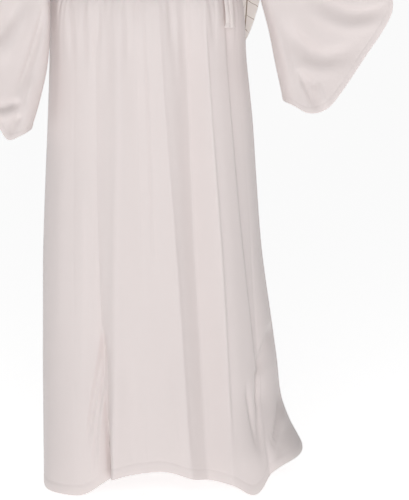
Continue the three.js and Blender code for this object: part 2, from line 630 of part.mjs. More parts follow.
// The wing is one panel of feathers side by side: place counts feathers from the spine outwards,
// along runs from the quills' roots to the scalloped edge.
function wingPoint(side, place, along) {
  const index = clamp(Math.floor(place), 0, featherRows.length - 1);
  const centred = clamp(place - 0.5, -0.5, featherRows.length - 0.5);
  const value = (name) => {
    const low = clamp(Math.floor(centred), 0, featherRows.length - 2);
    return lerp(featherRows[low][name], featherRows[low + 1][name], centred - low);
  };
  const fromQuill = Math.abs(place - index - 0.5) * 2;
  const length = Math.hypot(value("tipX") - value("rootX"), value("tipZ") - value("rootZ"));
  const notch = (Math.min(WING.notch, length * 0.3) / length) * fromQuill ** 2.2;
  const reach = along * (1 - notch);
  const x = lerp(value("rootX"), value("tipX"), reach) + WING.bow * Math.sin(Math.PI * reach);
  const z = lerp(value("rootZ"), value("tipZ"), reach);
  const sweep = WING.sweep * Math.max(x - WING.rootX, 0);
  const camber = WING.camber * Math.sin(Math.PI * clamp(reach, 0, 1)) * smoothstep(x, 40, 160);
  return new THREE.Vector3(side * x, WING.rootY + sweep + camber, z);
}

function wing(name, side) {
  const places = [];
  for (let i = 0; i < featherRows.length; i++) {
    for (const share of [0.01, 0.25, 0.5, 0.75]) places.push(i + share);
  }
  places.push(featherRows.length - 0.01);
  if (side > 0) places.reverse();
  const alongs = [1, 0.86, 0.66, 0.44, 0.22, 0];
  const back = new THREE.Vector3(0, WING.thickness, 0);
  const inner = alongs.map((along) => places.map((place) => wingPoint(side, place, along)));
  const outer = inner.map((row) => row.map((point) => point.clone().add(back)));
  return clothWall(name, "wing", outer, inner, false);
}

const materials = {
  robe: new THREE.MeshStandardMaterial({ color: 0xece4e3, roughness: 0.78, metalness: 0 }),
  sash: new THREE.MeshStandardMaterial({ color: 0xefe7e6, roughness: 0.74, metalness: 0 }),
  wing: new THREE.MeshStandardMaterial({ color: 0xe9dccb, roughness: 0.85, metalness: 0 }),
};

const costume = new THREE.Group();
costume.name = "angel_costume";
costume.add(
  robePanel("skirt", "front"),
  robePanel("skirt", "back"),
  robePanel("bodice", "front"),
  robePanel("bodice", "back"),
  sleevePanel(1, "front"),
  sleevePanel(1, "back"),
  sleevePanel(-1, "front"),
  sleevePanel(-1, "back"),
  waistSash(),
  sashKnot(),
  sashTail("sash_tail_long", { acrossTop: 0.845, across: 0.845, z: -448, width: 19, flare: 6 }),
  sashTail("sash_tail_short", { acrossTop: 0.902, across: 0.95, z: -384, width: 16, flare: 3 }),
  wingRootPanel(),
  wing("wing_left", 1),
  wing("wing_right", -1),
);

export default costume;
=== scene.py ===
import math
import random

import bmesh
import bpy
import numpy as np
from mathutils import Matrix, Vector


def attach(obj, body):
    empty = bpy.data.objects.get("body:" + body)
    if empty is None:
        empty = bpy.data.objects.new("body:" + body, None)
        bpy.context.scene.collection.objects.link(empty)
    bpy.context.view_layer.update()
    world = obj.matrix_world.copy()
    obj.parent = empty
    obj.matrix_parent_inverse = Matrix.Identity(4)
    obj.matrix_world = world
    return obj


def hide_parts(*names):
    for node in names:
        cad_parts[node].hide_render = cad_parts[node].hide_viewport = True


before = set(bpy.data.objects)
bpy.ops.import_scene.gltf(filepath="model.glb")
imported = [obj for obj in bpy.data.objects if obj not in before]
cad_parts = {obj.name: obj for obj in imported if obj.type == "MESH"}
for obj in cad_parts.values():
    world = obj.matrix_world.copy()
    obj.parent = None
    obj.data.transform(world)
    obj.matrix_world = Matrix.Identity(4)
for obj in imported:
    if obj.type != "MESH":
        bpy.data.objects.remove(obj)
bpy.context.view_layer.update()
random.seed(31)
print("frame loaded:", len(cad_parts), "nodes")

# Angel costume: robe, sash and feathered cloth wings. Metres, +Z up, front towards -Y.
# Folds are placed by x and z as seen from the front, and each is a soft trough or a ridge.


def rowsOf(names, *rows):  # a table's rows, each a dictionary of the named values
    return [dict(zip(names.split(), row)) for row in rows]


# A small fold: the width of its soft edge, its depth into the cloth (below 0 it stands out), its lean
# (one side of it is wider and the other steeper, the other way round below 0) and the points of its
# path as (x, z). start and end are the shares of the path over which it fades, and back moves its copy
# on a sleeve's back layer.
def fold(width, depth, lean, *path, start=0.3, end=0.4, back=None):
    return {
        "width": width, "depth": depth, "lean": lean, "path": path,
        "start": start, "end": end, "back": back,
    }


def lerp(low, high, share):
    return low + (high - low) * share


def smoothstep(value, low, high):
    share = np.clip((value - low) / (high - low), 0, 1)
    return share * share * (3 - 2 * share)


def column(rows, key, name, value):  # a table's column on a smooth curve through its rows
    keys = np.array([row[key] for row in rows], float)
    values = np.array([row[name] for row in rows], float)
    before = np.maximum(np.arange(len(rows)) - 1, 0)
    after = np.minimum(np.arange(len(rows)) + 1, len(rows) - 1)
    slopes = (values[after] - values[before]) / (keys[after] - keys[before])
    value = np.clip(value, keys[0], keys[-1])
    first = np.clip(np.searchsorted(keys, value, side="right") - 1, 0, len(rows) - 2)
    span = keys[first + 1] - keys[first]
    share = (value - keys[first]) / span
    chord = (values[first + 1] - values[first]) / span
    bend = (slopes[first] - chord) * (1 - share) + (chord - slopes[first + 1]) * share
    return lerp(values[first], values[first + 1], share) + bend * share * (1 - share) * span


def smoothPath(path, count=26):  # a curve through a fold's few points
    path = np.array(path, float)
    rows = [{"at": at, "x": x, "z": z} for at, (x, z) in enumerate(path)]
    at = np.linspace(0, len(path) - 1, count)
    return np.stack([column(rows, "at", "x", at), column(rows, "at", "z", at)], axis=-1)


robe = {
    "wall": 0.0012,
    "joinWithin": 0.00001,
    "seamGap": 0.0003,
    "frontStart": 180.0001,  # degrees of turn, just past the side seam
    "waistZ": -0.330,
    "armpitZ": -0.205,
    "hipZ": -0.390,
    "thighZ": -0.500,
    "kneeZ": -0.930,
    "ankleZ": -1.400,
    "neckSideZ": -0.005,
    "shoulderTipZ": -0.050,
    "sideLimit": 0.99,  # share of the half width that a crease stays within
    "neckSide": 0.49,  # and where the neckline meets the shoulder seam
    "frontNeckDrop": 0.090,
    "frontNeckRound": 0.75,
    "backNeckDrop": 0.017,
    "shoulderRound": 0.150,
    "shoulderSquare": 2.4,
    "shoulderBlend": 0.06,
    "crestRounding": 1.2,  # degrees of turn
    "crestMargin": 0.05,
    "creaseEnd": 1.9,  # the level where the skirt's creases have run out above the waist
    "smoothFrom": 2.7,  # and the level from where the small folds run out below the neck
    "edge": 0.05,  # share of a panel's width over which its small folds run out at a side seam
    "ripple": 0.0013,
    "rippleFrom": (0.38, 0.60),
    "columns": 250,
    "rows": 186,
    "skirtShare": 0.66,  # of the rows
    "armpitShare": 0.80,
}

# The worn outline at each height, as in the solids.
sectionRows = rowsOf(
    "z minX maxX front back square",
    (-1.440, -0.228, 0.345, 0.190, 0.205, 2.60),
    (-1.361, -0.228, 0.336, 0.188, 0.202, 2.60),
    (-1.301, -0.228, 0.307, 0.185, 0.199, 2.55),
    (-1.246, -0.228, 0.288, 0.182, 0.196, 2.50),
    (-1.169, -0.228, 0.279, 0.176, 0.190, 2.45),
    (-1.081, -0.227, 0.267, 0.170, 0.184, 2.40),
    (-0.928, -0.225, 0.246, 0.160, 0.172, 2.35),
    (-0.777, -0.219, 0.234, 0.152, 0.162, 2.30),
    (-0.648, -0.213, 0.225, 0.146, 0.153, 2.30),
    (-0.521, -0.208, 0.212, 0.140, 0.146, 2.30),
    (-0.394, -0.204, 0.202, 0.130, 0.136, 2.30),
    (-0.350, -0.176, 0.176, 0.109, 0.101, 2.25),
    (-0.310, -0.176, 0.176, 0.109, 0.101, 2.25),
    (-0.285, -0.186, 0.186, 0.126, 0.110, 2.25),
    (-0.245, -0.189, 0.189, 0.137, 0.114, 2.25),
    (-0.205, -0.188, 0.188, 0.140, 0.114, 2.25),
    (-0.130, -0.172, 0.172, 0.122, 0.108, 2.25),
    (-0.050, -0.195, 0.195, 0.086, 0.086, 2.25),
    (0.020, -0.198, 0.198, 0.066, 0.070, 2.25),
)

armholeRows = rowsOf(
    "z depth",
    (-0.205, 0),
    (-0.185, 0.034),
    (-0.150, 0.052),
    (-0.110, 0.056),
    (-0.050, 0.056),
)

# Large folds lie between these creases: x of each crease and its depth at four heights.
# peak is where the fold after it, in the direction of turn, stands out most.
creaseRows = [
    *rowsOf(
        "face hipX kneeX hemX depths peak flat",
        ("back", 0.160, 0.196, 0.262, (0.032, 0.020, 0.014, 0.004), 0.50, 0.8),
        ("back", 0.104, 0.128, 0.172, (0.038, 0.027, 0.020, 0.006), 0.42, 0.8),
        ("back", 0.046, 0.058, 0.088, (0.042, 0.030, 0.022, 0.006), 0.55, 0.8),
        ("back", -0.014, -0.012, 0.004, (0.044, 0.032, 0.023, 0.006), 0.60, 0.8),
        ("back", -0.068, -0.076, -0.072, (0.040, 0.029, 0.020, 0.006), 0.45, 0.8),
        ("back", -0.116, -0.130, -0.136, (0.034, 0.025, 0.018, 0.006), 0.50, 0.8),
        ("back", -0.170, -0.188, -0.192, (0.020, 0.014, 0.010, 0.004), 0.50, 0.7),
    ),
    *rowsOf(
        "face hipX kneeX hemX depths peak flat rest",
        ("front", -0.153, -0.157, -0.157, (0.009, 0.007, 0.006, 0.004), 0.45, 0.7, 0.7),
    ),
    *rowsOf(
        "face hipX kneeX hemX depths crest soft",
        ("front", -0.108, -0.103, -0.083, (0.040, 0.015, 0.012, 0.004), (-0.052, -0.061, -0.07), (0.1, 0.5)),
        ("front", -0.024, -0.010, 0.006, (0.011, 0.013, 0.013, 0.006), (0.026, 0.064, 0.096), (0.3, 1)),
        ("front", 0.086, 0.109, 0.131, (0.023, 0.031, 0.029, 0.010), (0.1225, 0.160, 0.184), (0.9, 0.1)),
    ),
    *rowsOf(
        "face hipX kneeX hemX depths peak flat",
        ("front", 0.191, 0.233, 0.272, (0.022, 0.009, 0.006, 0.003), 0.50, 0.7),
    ),
]
neckFolds = {"back": (0.104, -0.116), "front": (-0.108, 0.086)}  # these run up to the neck

# Height of the hem round the turn: 180 is the side seam at -X, 270 the front.
hemRows = rowsOf(
    "turn z",
    (0, -1.356), (22, -1.392), (60, -1.418), (95, -1.424), (140, -1.432), (180, -1.436), (212, -1.436),
    (227, -1.430), (241, -1.396), (260, -1.377), (268, -1.376), (279, -1.390), (296, -1.405),
    (305, -1.428), (311, -1.425), (321, -1.388), (334, -1.370), (360, -1.356),
)

# Smaller folds of the two panels.
frontFolds = [
    fold(0.007, 0.003, 0.2, (-0.166, -0.352), (-0.162, -0.45), (-0.158, -0.545)),
    fold(0.009, 0.0024, -0.3, (-0.136, -0.35), (-0.134, -0.44), (-0.131, -0.61)),
    fold(0.006, -0.0028, 0, (-0.119, -0.35), (-0.118, -0.45), (-0.116, -0.56)),
    fold(0.007, 0.0042, 0.3, (-0.1, -0.35), (-0.101, -0.43), (-0.108, -0.515)),
    fold(0.01, 0.0026, -0.2, (-0.083, -0.35), (-0.081, -0.47), (-0.083, -0.64)),
    fold(0.011, -0.002, 0.3, (-0.06, -0.35), (-0.062, -0.62), (-0.07, -0.96), (-0.078, -1.18)),
    fold(0.007, 0.003, 0, (-0.042, -0.35), (-0.04, -0.45), (-0.041, -0.56)),
    fold(0.006, 0.0034, 0.2, (-0.019, -0.352), (-0.019, -0.4), (-0.018, -0.446)),
    fold(
        0.008, -0.0026, 0.4, (-0.003, -0.352), (0.002, -0.48), (0.01, -0.66), (0.016, -0.86),
        (0.024, -1.06),
    ),
    fold(0.008, 0.0044, 0.3, (0.047, -0.352), (0.051, -0.43), (0.056, -0.52)),
    fold(0.007, -0.0024, 0, (0.063, -0.352), (0.069, -0.47), (0.078, -0.6)),
    fold(0.01, -0.003, 0, (0.09, -0.352), (0.096, -0.45), (0.104, -0.56)),
    fold(0.007, 0.0034, 0, (0.133, -0.352), (0.141, -0.43), (0.147, -0.5)),
    fold(0.006, 0.003, 0.2, (0.171, -0.352), (0.178, -0.45), (0.184, -0.52)),
    fold(0.009, 0.003, 0, (-0.196, -0.36), (-0.199, -0.52), (-0.207, -0.76)),
    fold(0.016, -0.0022, 0, (-0.18, -0.64), (-0.186, -0.9), (-0.188, -1.23)),
    fold(0.014, 0.0028, 0.3, (-0.127, -0.78), (-0.126, -1), (-0.134, -1.3)),
    fold(
        0.0055, 0.0078, 0.4, (-0.093, -1.07), (-0.106, -1.148), (-0.121, -1.234), (-0.132, -1.335),
        start=0.12, end=0.25,
    ),
    fold(
        0.0048, 0.008, -0.3, (-0.09, -1.09), (-0.099, -1.191), (-0.11, -1.278), (-0.119, -1.395),
        start=0.12, end=0.2,
    ),
    fold(0.005, 0.0088, 0, (-0.086, -1.105), (-0.087, -1.234), (-0.085, -1.4), start=0.12, end=0.1),
    fold(0.007, -0.0046, 0, (-0.1, -1.2), (-0.112, -1.29), (-0.124, -1.41)),
    fold(0.016, 0.0022, 0, (-0.04, -1.13), (-0.034, -1.26), (-0.031, -1.37)),
    fold(
        0.012, 0.006, 0.72, (0.167, -0.352), (0.175, -0.471), (0.203, -0.803), (0.219, -0.95),
        (0.2345, -1.077), (0.247, -1.175), start=0.05, end=0.03,
    ),
    fold(0.0055, 0.0085, -0.3, (0.247, -1.17), (0.247, -1.26), (0.247, -1.36), start=0.04),
    fold(0.012, -0.0026, 0.2, (0.06, -1.12), (0.067, -1.25), (0.08, -1.39)),
    fold(0.018, 0.0024, 0, (0.128, -0.98), (0.142, -1.16), (0.15, -1.39)),
    fold(
        0.008, 0.003, 0.7, (0.031, -0.4), (0.046, -0.64), (0.069, -0.93), (0.086, -1.18), (0.101, -1.4),
        start=0.1, end=0.15,
    ),
    fold(
        0.009, 0.0036, 0.7, (0.126, -0.4), (0.142, -0.64), (0.164, -0.93), (0.178, -1.18), (0.189, -1.4),
        start=0.1, end=0.15,
    ),
    fold(0.0055, 0.0055, 0.3, (0.213, -1.19), (0.224, -1.26), (0.239, -1.35)),
    fold(
        0.006, 0.0075, 0.3, (0.269, -1.08), (0.264, -1.105), (0.257, -1.14), (0.248, -1.18), start=0.3,
        end=0.03,
    ),
    fold(
        0.0048, 0.01, 0.3, (0.284, -1.195), (0.2865, -1.24), (0.2845, -1.292), (0.272, -1.35), start=0.15,
        end=0.25,
    ),
    fold(0.01, -0.005, 0, (0.246, -1.23), (0.252, -1.29), (0.262, -1.372)),
    fold(0.008, 0.006, 0, (0.3, -1.29), (0.296, -1.33), (0.286, -1.368)),
    fold(0.01, 0.005, 0.2, (-0.1, -0.305), (-0.088, -0.25), (-0.08, -0.18)),
    fold(0.012, -0.004, 0, (-0.06, -0.305), (-0.052, -0.24), (-0.056, -0.15)),
    fold(0.009, 0.0044, 0, (-0.02, -0.305), (-0.022, -0.25), (-0.03, -0.19)),
    fold(0.011, 0.005, -0.2, (0.028, -0.305), (0.03, -0.245), (0.022, -0.17)),
    fold(0.012, -0.004, 0, (0.07, -0.305), (0.066, -0.24), (0.07, -0.16)),
    fold(0.01, 0.005, 0.3, (0.112, -0.305), (0.104, -0.24), (0.09, -0.19)),
    fold(0.013, 0.006, 0.2, (-0.176, -0.214), (-0.14, -0.196), (-0.104, -0.15), (-0.092, -0.1)),
    fold(0.013, 0.006, -0.2, (0.176, -0.214), (0.142, -0.202), (0.112, -0.16), (0.096, -0.11)),
    fold(0.01, 0.004, 0, (-0.17, -0.23), (-0.13, -0.24), (-0.098, -0.27)),
    fold(0.01, 0.004, 0, (0.17, -0.232), (0.136, -0.246), (0.11, -0.282)),
]
backFolds = [
    fold(0.009, 0.0036, 0.2, (-0.15, -0.352), (-0.152, -0.46), (-0.156, -0.64)),
    fold(0.008, 0.0036, 0, (-0.092, -0.352), (-0.094, -0.45), (-0.099, -0.56)),
    fold(0.009, 0.0034, -0.2, (-0.04, -0.352), (-0.042, -0.52), (-0.046, -0.7)),
    fold(0.008, 0.004, 0, (0.014, -0.352), (0.017, -0.43), (0.02, -0.52)),
    fold(0.009, 0.0036, 0.3, (0.074, -0.352), (0.078, -0.48), (0.086, -0.62)),
    fold(0.009, 0.0032, 0, (0.132, -0.352), (0.136, -0.45), (0.146, -0.6)),
    fold(0.008, 0.003, 0, (0.182, -0.352), (0.186, -0.43), (0.19, -0.56)),
    fold(0.013, 0.003, 0.3, (-0.16, -0.82), (-0.166, -1.06), (-0.168, -1.33)),
    fold(0.01, 0.0036, 0, (-0.104, -0.94), (-0.106, -1.14), (-0.102, -1.4)),
    fold(0.011, -0.0034, 0, (-0.04, -1.06), (-0.034, -1.24), (-0.036, -1.41)),
    fold(0.012, 0.0032, -0.3, (0.03, -0.88), (0.04, -1.12), (0.044, -1.4)),
    fold(0.011, 0.004, 0.2, (0.098, -1.02), (0.116, -1.2), (0.13, -1.4)),
    fold(0.013, 0.0036, 0, (0.17, -0.9), (0.196, -1.14), (0.216, -1.37)),
    fold(0.01, 0.0046, 0.3, (0.25, -1.16), (0.272, -1.26), (0.3, -1.345)),
    fold(0.011, 0.0046, 0, (-0.12, -0.305), (-0.104, -0.24), (-0.092, -0.17)),
    fold(0.011, 0.0046, 0, (0.118, -0.305), (0.104, -0.244), (0.096, -0.18)),
    fold(0.012, 0.005, 0, (-0.176, -0.212), (-0.144, -0.19), (-0.122, -0.15)),
    fold(0.012, 0.005, 0, (0.176, -0.212), (0.144, -0.192), (0.124, -0.15)),
]
panelFolds = {"front": frontFolds, "back": backFolds}

# Short gathers that the sash pulls in, above and below it.
gathers = {
    "count": 74, "depth": 0.0026, "uneven": (0.5, 1.5), "below": (0.024, 0.085), "above": (0.022, 0.070),
    "scatter": 1.8, "width": (1.0, 1.7), "drift": 2.5, "driftOver": 0.05, "fall": 1.5,
}
gatherRows = [
    {
        "turn": index * 360 / gathers["count"] + random.uniform(-gathers["scatter"], gathers["scatter"]),
        "width": random.uniform(*gathers["width"]),
        "depth": gathers["depth"] * random.uniform(*gathers["uneven"]),
        "below": random.uniform(*gathers["below"]),
        "above": random.uniform(*gathers["above"]),
        "drift": random.uniform(-gathers["drift"], gathers["drift"]),
    }
    for index in range(gathers["count"])
]

# The slight unevenness of soft cloth, as waves across and up it.
ripples = {"count": 9, "across": (9, 34), "up": (3, 12), "phase": (0, 6.28), "size": (0.5, 1)}
rippleRows = [
    (
        random.uniform(*ripples["across"]), random.uniform(*ripples["up"]),
        random.uniform(*ripples["phase"]), random.uniform(*ripples["size"]),
    )
    for _ in range(ripples["count"])
]


def sectionAt(z):
    section = {name: column(sectionRows, "z", name, z) for name in sectionRows[0] if name != "z"}
    section["halfWidth"] = (section["maxX"] - section["minX"]) / 2
    section["middle"] = section["minX"] + section["halfWidth"]
    return section


def ridgeZ(across):  # the shoulder seam
    outwards = (np.abs(across) - robe["neckSide"]) / (1 - robe["neckSide"])
    return lerp(robe["neckSideZ"], robe["shoulderTipZ"], outwards)


def heightAt(turn, level):  # levels: 0 hem, 1 waist, 2 armpit, 3 neckline and shoulder seam
    across = np.cos(np.radians(turn))
    share = np.minimum(np.abs(across) / robe["neckSide"], 1)
    frontDrop = robe["frontNeckDrop"] * (1 - share ** 2) ** robe["frontNeckRound"]
    backDrop = robe["backNeckDrop"] * (1 - share ** 2)
    neckZ = robe["neckSideZ"] - np.where(turn > 180, frontDrop, backDrop)
    topZ = np.where(share >= 1, ridgeZ(across), neckZ)
    skirtZ = lerp(column(hemRows, "turn", "z", turn), robe["waistZ"], level)
    bodiceZ = lerp(robe["waistZ"], robe["armpitZ"], level - 1)
    yokeZ = lerp(robe["armpitZ"], topZ, level - 2)
    return np.where(level <= 1, skirtZ, np.where(level <= 2, bodiceZ, yokeZ))


def formAt(turn, z):  # the smooth form that the folds are pressed into, and its outward normal
    section = sectionAt(z)
    across = np.cos(np.radians(turn))
    sign = np.where(turn > 180, -1.0, 1.0)
    depth = np.where(turn > 180, section["front"], section["back"])
    edge = column(armholeRows, "z", "depth", z)
    width = np.abs(across)
    rounded = (1 - width ** section["square"]) ** (1 / section["square"])
    overArm = 1 - width ** robe["shoulderSquare"]
    wrap = lerp(rounded, overArm, smoothstep(z, robe["armpitZ"], robe["armpitZ"] + robe["shoulderBlend"]))
    rise = np.clip((ridgeZ(across) - z) / robe["shoulderRound"], 0, 1)
    shoulder = np.sqrt(1 - (1 - rise) ** 2)
    point = np.stack([
        section["middle"] + section["halfWidth"] * across,
        sign * (edge + (depth - edge) * wrap) * shoulder,
        z + 0 * across,
    ], axis=-1)
    normal = np.stack([
        np.sign(across) * width ** (section["square"] - 1) / section["halfWidth"],
        sign * rounded ** (section["square"] - 1) / depth,
        0 * across,
    ], axis=-1)
    return point, normal / np.linalg.norm(normal, axis=-1, keepdims=True)


def turnOf(xs, face, level, toNeck=0):  # the turn of a line with these x at hip, knee and hem
    z = np.minimum(lerp(robe["ankleZ"], robe["waistZ"], level), robe["hipZ"])
    heights = (robe["ankleZ"], robe["kneeZ"], robe["hipZ"])
    rows = [{"z": height, "x": x} for height, x in zip(heights, reversed(xs))]
    section = sectionAt(z)
    across = (column(rows, "z", "x", z) - section["middle"]) / section["halfWidth"]
    across = np.clip(across, -robe["sideLimit"], robe["sideLimit"])
    neckAngle = np.degrees(np.arccos(np.sign(across) * robe["neckSide"]))
    angle = lerp(np.degrees(np.arccos(across)), neckAngle, toNeck)
    return 360 - angle if face == "front" else angle


def creaseTurn(crease, level):
    toNeck = np.clip(level - 2, 0, 1) if crease["hipX"] in neckFolds[crease["face"]] else 0
    return turnOf((crease["hipX"], crease["kneeX"], crease["hemX"]), crease["face"], level, toNeck)


def creaseDepth(crease, level):
    heights = (robe["ankleZ"], robe["kneeZ"], robe["thighZ"], robe["waistZ"])
    rows = [{"z": z, "depth": depth} for z, depth in zip(heights, crease["depths"])]
    skirt = column(rows, "z", "depth", lerp(robe["ankleZ"], robe["waistZ"], level))
    bodice = crease["depths"][-1] * (1 - smoothstep(level, 1, robe["creaseEnd"]))
    return np.where(level > 1, bodice, skirt)


def crestHeight(crease, start, turn, span, level):  # a fold with its own crest, its valleys soft or sharp
    crest = turnOf(crease["crest"], crease["face"], level) - start
    rise = np.clip(crest, robe["crestMargin"] * span, (1 - robe["crestMargin"]) * span)
    away = turn - start - rise
    down = np.sqrt(away ** 2 + robe["crestRounding"] ** 2) - robe["crestRounding"]
    soft = np.where(away < 0, *crease["soft"])
    share = np.clip(1 - down / np.where(away < 0, rise, span - rise), 0, 1)
    return lerp(share, 1 - np.cos(share * np.pi / 2), soft)


def foldInset(turn, level):  # nothing on a fold's peak, the full depth in a crease
    turns = np.stack([creaseTurn(crease, level) for crease in creaseRows])
    depths = np.stack([creaseDepth(crease, level) for crease in creaseRows])
    count = len(creaseRows)
    before = ((turns <= turn).sum(axis=0) - 1) % count
    after = (before + 1) % count
    place = np.arange(turn.size)
    span = (turns[after, place] - turns[before, place]) % 360
    share = ((turn - turns[before, place]) % 360) / span
    peak = np.array([crease.get("peak", 0.5) for crease in creaseRows])[before]
    flat = np.array([crease.get("flat", 1.0) for crease in creaseRows])[before]
    height = np.maximum(np.sin(np.pi * share ** (math.log(0.5) / np.log(peak))), 0) ** flat
    for index, crease in enumerate(creaseRows):
        if "crest" in crease:
            height = np.where(before == index, crestHeight(crease, turns[index], turn, span, level), height)
    rest = np.array([crease.get("rest", 0.0) for crease in creaseRows])[before]
    return lerp(depths[before, place], depths[after, place], share) * (1 - height * (1 - rest))


def foldsAt(x, z, folds):  # how deep the small folds press the cloth in at each point
    inset = np.zeros(x.size)
    for small in folds:
        path = smoothPath(small["path"])
        near = np.full(x.size, np.inf)
        side = np.zeros(x.size)
        along = np.zeros(x.size)
        for index, (start, end) in enumerate(zip(path[:-1], path[1:])):
            step = end - start
            share = np.clip(((x - start[0]) * step[0] + (z - start[1]) * step[1]) / (step @ step), 0, 1)
            awayX = x - start[0] - share * step[0]
            awayZ = z - start[1] - share * step[1]
            distance = np.hypot(awayX, awayZ)
            closer = distance < near
            near = np.where(closer, distance, near)
            side = np.where(closer, np.sign(step[0] * awayZ - step[1] * awayX), side)
            along = np.where(closer, (index + share) / (len(path) - 1), along)
        width = small["width"] * (1 + side * small["lean"])
        fade = smoothstep(along, 0, small["start"]) * (1 - smoothstep(along, 1 - small["end"], 1))
        inset += small["depth"] * fade * np.exp(-(near / width) ** 2)
    return inset


def gathersAt(turn, z):
    inset = np.zeros(turn.size)
    below = np.maximum(sash["low"] - z, 0)
    above = np.maximum(z - sash["high"], 0)
    for row in gatherRows:
        reach = (below / row["below"]) ** gathers["fall"] + (above / row["above"]) ** gathers["fall"]
        away = turn - row["turn"] - row["drift"] * (below + above) / gathers["driftOver"]
        away = (away + 180) % 360 - 180
        inset += row["depth"] * np.exp(-reach - (away / row["width"]) ** 2)
    return inset


def rippleAt(x, z, height):
    total = sum(size * np.sin(across * x + up * z + phase) for across, up, phase, size in rippleRows)
    return 2 * height * total / len(rippleRows)


def panelPoints(face, u, level):
    turn = lerp(robe["frontStart"], 360, u) if face == "front" else lerp(0, 180, u)
    point, normal = formAt(turn, heightAt(turn, level))
    x, z = point[:, 0], point[:, 2]
    inset = foldInset(turn, level)
    atEdge = smoothstep(np.minimum(u, 1 - u), 0, robe["edge"])
    atEdge = atEdge * (1 - smoothstep(level, robe["smoothFrom"], 3))
    inset += foldsAt(x, z, panelFolds[face]) * atEdge
    inset += gathersAt(turn, z) * atEdge
    unevenness = rippleAt(x, z, robe["ripple"]) + robe["ripple"]
    inset += unevenness * smoothstep(-z, *robe["rippleFrom"]) * atEdge
    point = point - normal * inset[:, None]
    point[:, 1] += -robe["seamGap"] / 2 if face == "front" else robe["seamGap"] / 2
    return point


# Rows lie close together at the hem, where its fold and stitches are.
hemLevels = (0, 0.0010, 0.0030, 0.0070, 0.0130, 0.0180, 0.0200, 0.0212, 0.0224, 0.0250, 0.0310)


def panelLevels(v):
    places = np.linspace(0, 1, robe["rows"] + 1)
    rows = len(hemLevels)
    waistRow = int(robe["rows"] * robe["skirtShare"])
    armpitRow = int(robe["rows"] * robe["armpitShare"])
    levels = np.interp(
        np.arange(len(places)), (rows - 1, waistRow, armpitRow, robe["rows"]), (hemLevels[-1], 1, 2, 3),
    )
    levels[:rows] = hemLevels
    return np.interp(v, places, levels)


hem = {
    "width": 0.022,
    "cuffWidth": 0.014,
    "rise": 0.0004,
    "step": 0.001,
    "roll": 0.0006,
    "rollWidth": 0.0025,
    "groove": 0.0005,
    "grooveWidth": 0.0012,
}


def hemRelief(distance, width):  # a turned-up hem is a little thicker, and its stitches sink in
    body = hem["rise"] * (1 - smoothstep(distance, width - hem["step"], width + hem["step"]))
    roll = hem["roll"] * (1 - smoothstep(distance, 0, hem["rollWidth"]))
    groove = hem["groove"] * np.exp(-((distance - width) / hem["grooveWidth"]) ** 2)
    return body - roll - groove


def pieceOf(name, shape):  # a finished shape as a piece of the scene
    mesh = bpy.data.meshes.new(name)
    shape.to_mesh(mesh)
    shape.free()
    piece = bpy.data.objects.new(name, mesh)
    bpy.context.scene.collection.objects.link(piece)
    return piece


def flatGrid(columns, rows):  # a grid and where each of its points lies, from 0 to 1 each way
    shape = bmesh.new()
    bmesh.ops.create_grid(shape, x_segments=columns, y_segments=rows, size=0.5)
    return shape, np.array([vertex.co[:2] for vertex in shape.verts]) + 0.5


# A piece of cloth: place gives the points of the sheet, which has a UV map in its own measure. turnedIn
# swaps its sides, closed joins its first and last column, and a hem is at the start or end of its rows.
def clothGrid(name, columns, rows, place, turnedIn=False, closed=False, hemAt=None, hemWidth=0):
    shape, flat = flatGrid(columns, rows)
    piece = pieceOf(name, shape)
    mesh = piece.data
    index = np.rint(flat * (columns, rows)).astype(int)
    order = np.empty((rows + 1, columns + 1), int)
    order[index[:, 1], index[:, 0]] = np.arange(len(flat))
    points = place(flat[:, 0], flat[:, 1])
    lattice = points[order]
    along = np.zeros(order.shape)
    along[1:] = np.cumsum(np.linalg.norm(np.diff(lattice, axis=0), axis=2), axis=0)
    across = np.zeros(order.shape)
    across[:, 1:] = np.cumsum(np.linalg.norm(np.diff(lattice, axis=1), axis=2), axis=1)
    if hemAt is not None:
        distance = along if hemAt == "start" else along[-1] - along
        east = np.gradient(lattice, axis=1)
        north = np.gradient(lattice, axis=0)
        if closed:
            east[:, 0] = east[:, -1] = lattice[:, 1] - lattice[:, -2]
        normal = np.cross(east, north) * (-1 if turnedIn else 1)
        normal /= np.linalg.norm(normal, axis=2, keepdims=True)
        lattice = lattice + normal * hemRelief(distance, hemWidth)[:, :, None]
    points = np.empty_like(points)
    points[order.ravel()] = lattice.reshape(-1, 3)
    mesh.vertices.foreach_set("co", points.ravel())
    cloth = np.empty((len(points), 2))
    cloth[order.ravel()] = np.stack([across, along], axis=-1).reshape(-1, 2)
    corners = np.empty(len(mesh.loops), int)
    mesh.loops.foreach_get("vertex_index", corners)
    layer = mesh.uv_layers.new(name="cloth")
    layer.data.foreach_set("uv", cloth[corners].ravel())
    shape = bmesh.new()
    shape.from_mesh(mesh)
    if closed:
        edge = [v for v in shape.verts if v.is_boundary]
        bmesh.ops.remove_doubles(shape, verts=edge, dist=robe["joinWithin"])
    if turnedIn:
        bmesh.ops.reverse_faces(shape, faces=shape.faces)
    for face in shape.faces:
        face.smooth = True
    shape.to_mesh(mesh)
    shape.free()
    return piece


def addWall(piece, wall, offset=-1.0):
    thicken = piece.modifiers.new("wall", "SOLIDIFY")
    thicken.thickness = wall
    thicken.offset = offset
    return thicken


def printArea(piece):
    area = sum(face.area for face in piece.data.polygons)
    print(f"{piece.name}: {area:.3f} square metres of cloth")


def robePanel(face):
    panel = clothGrid(
        f"robe{face.title()}", robe["columns"], robe["rows"],
        lambda u, v: panelPoints(face, u, panelLevels(v)), hemAt="start", hemWidth=hem["width"],
    )
    addWall(panel, robe["wall"])
    return panel


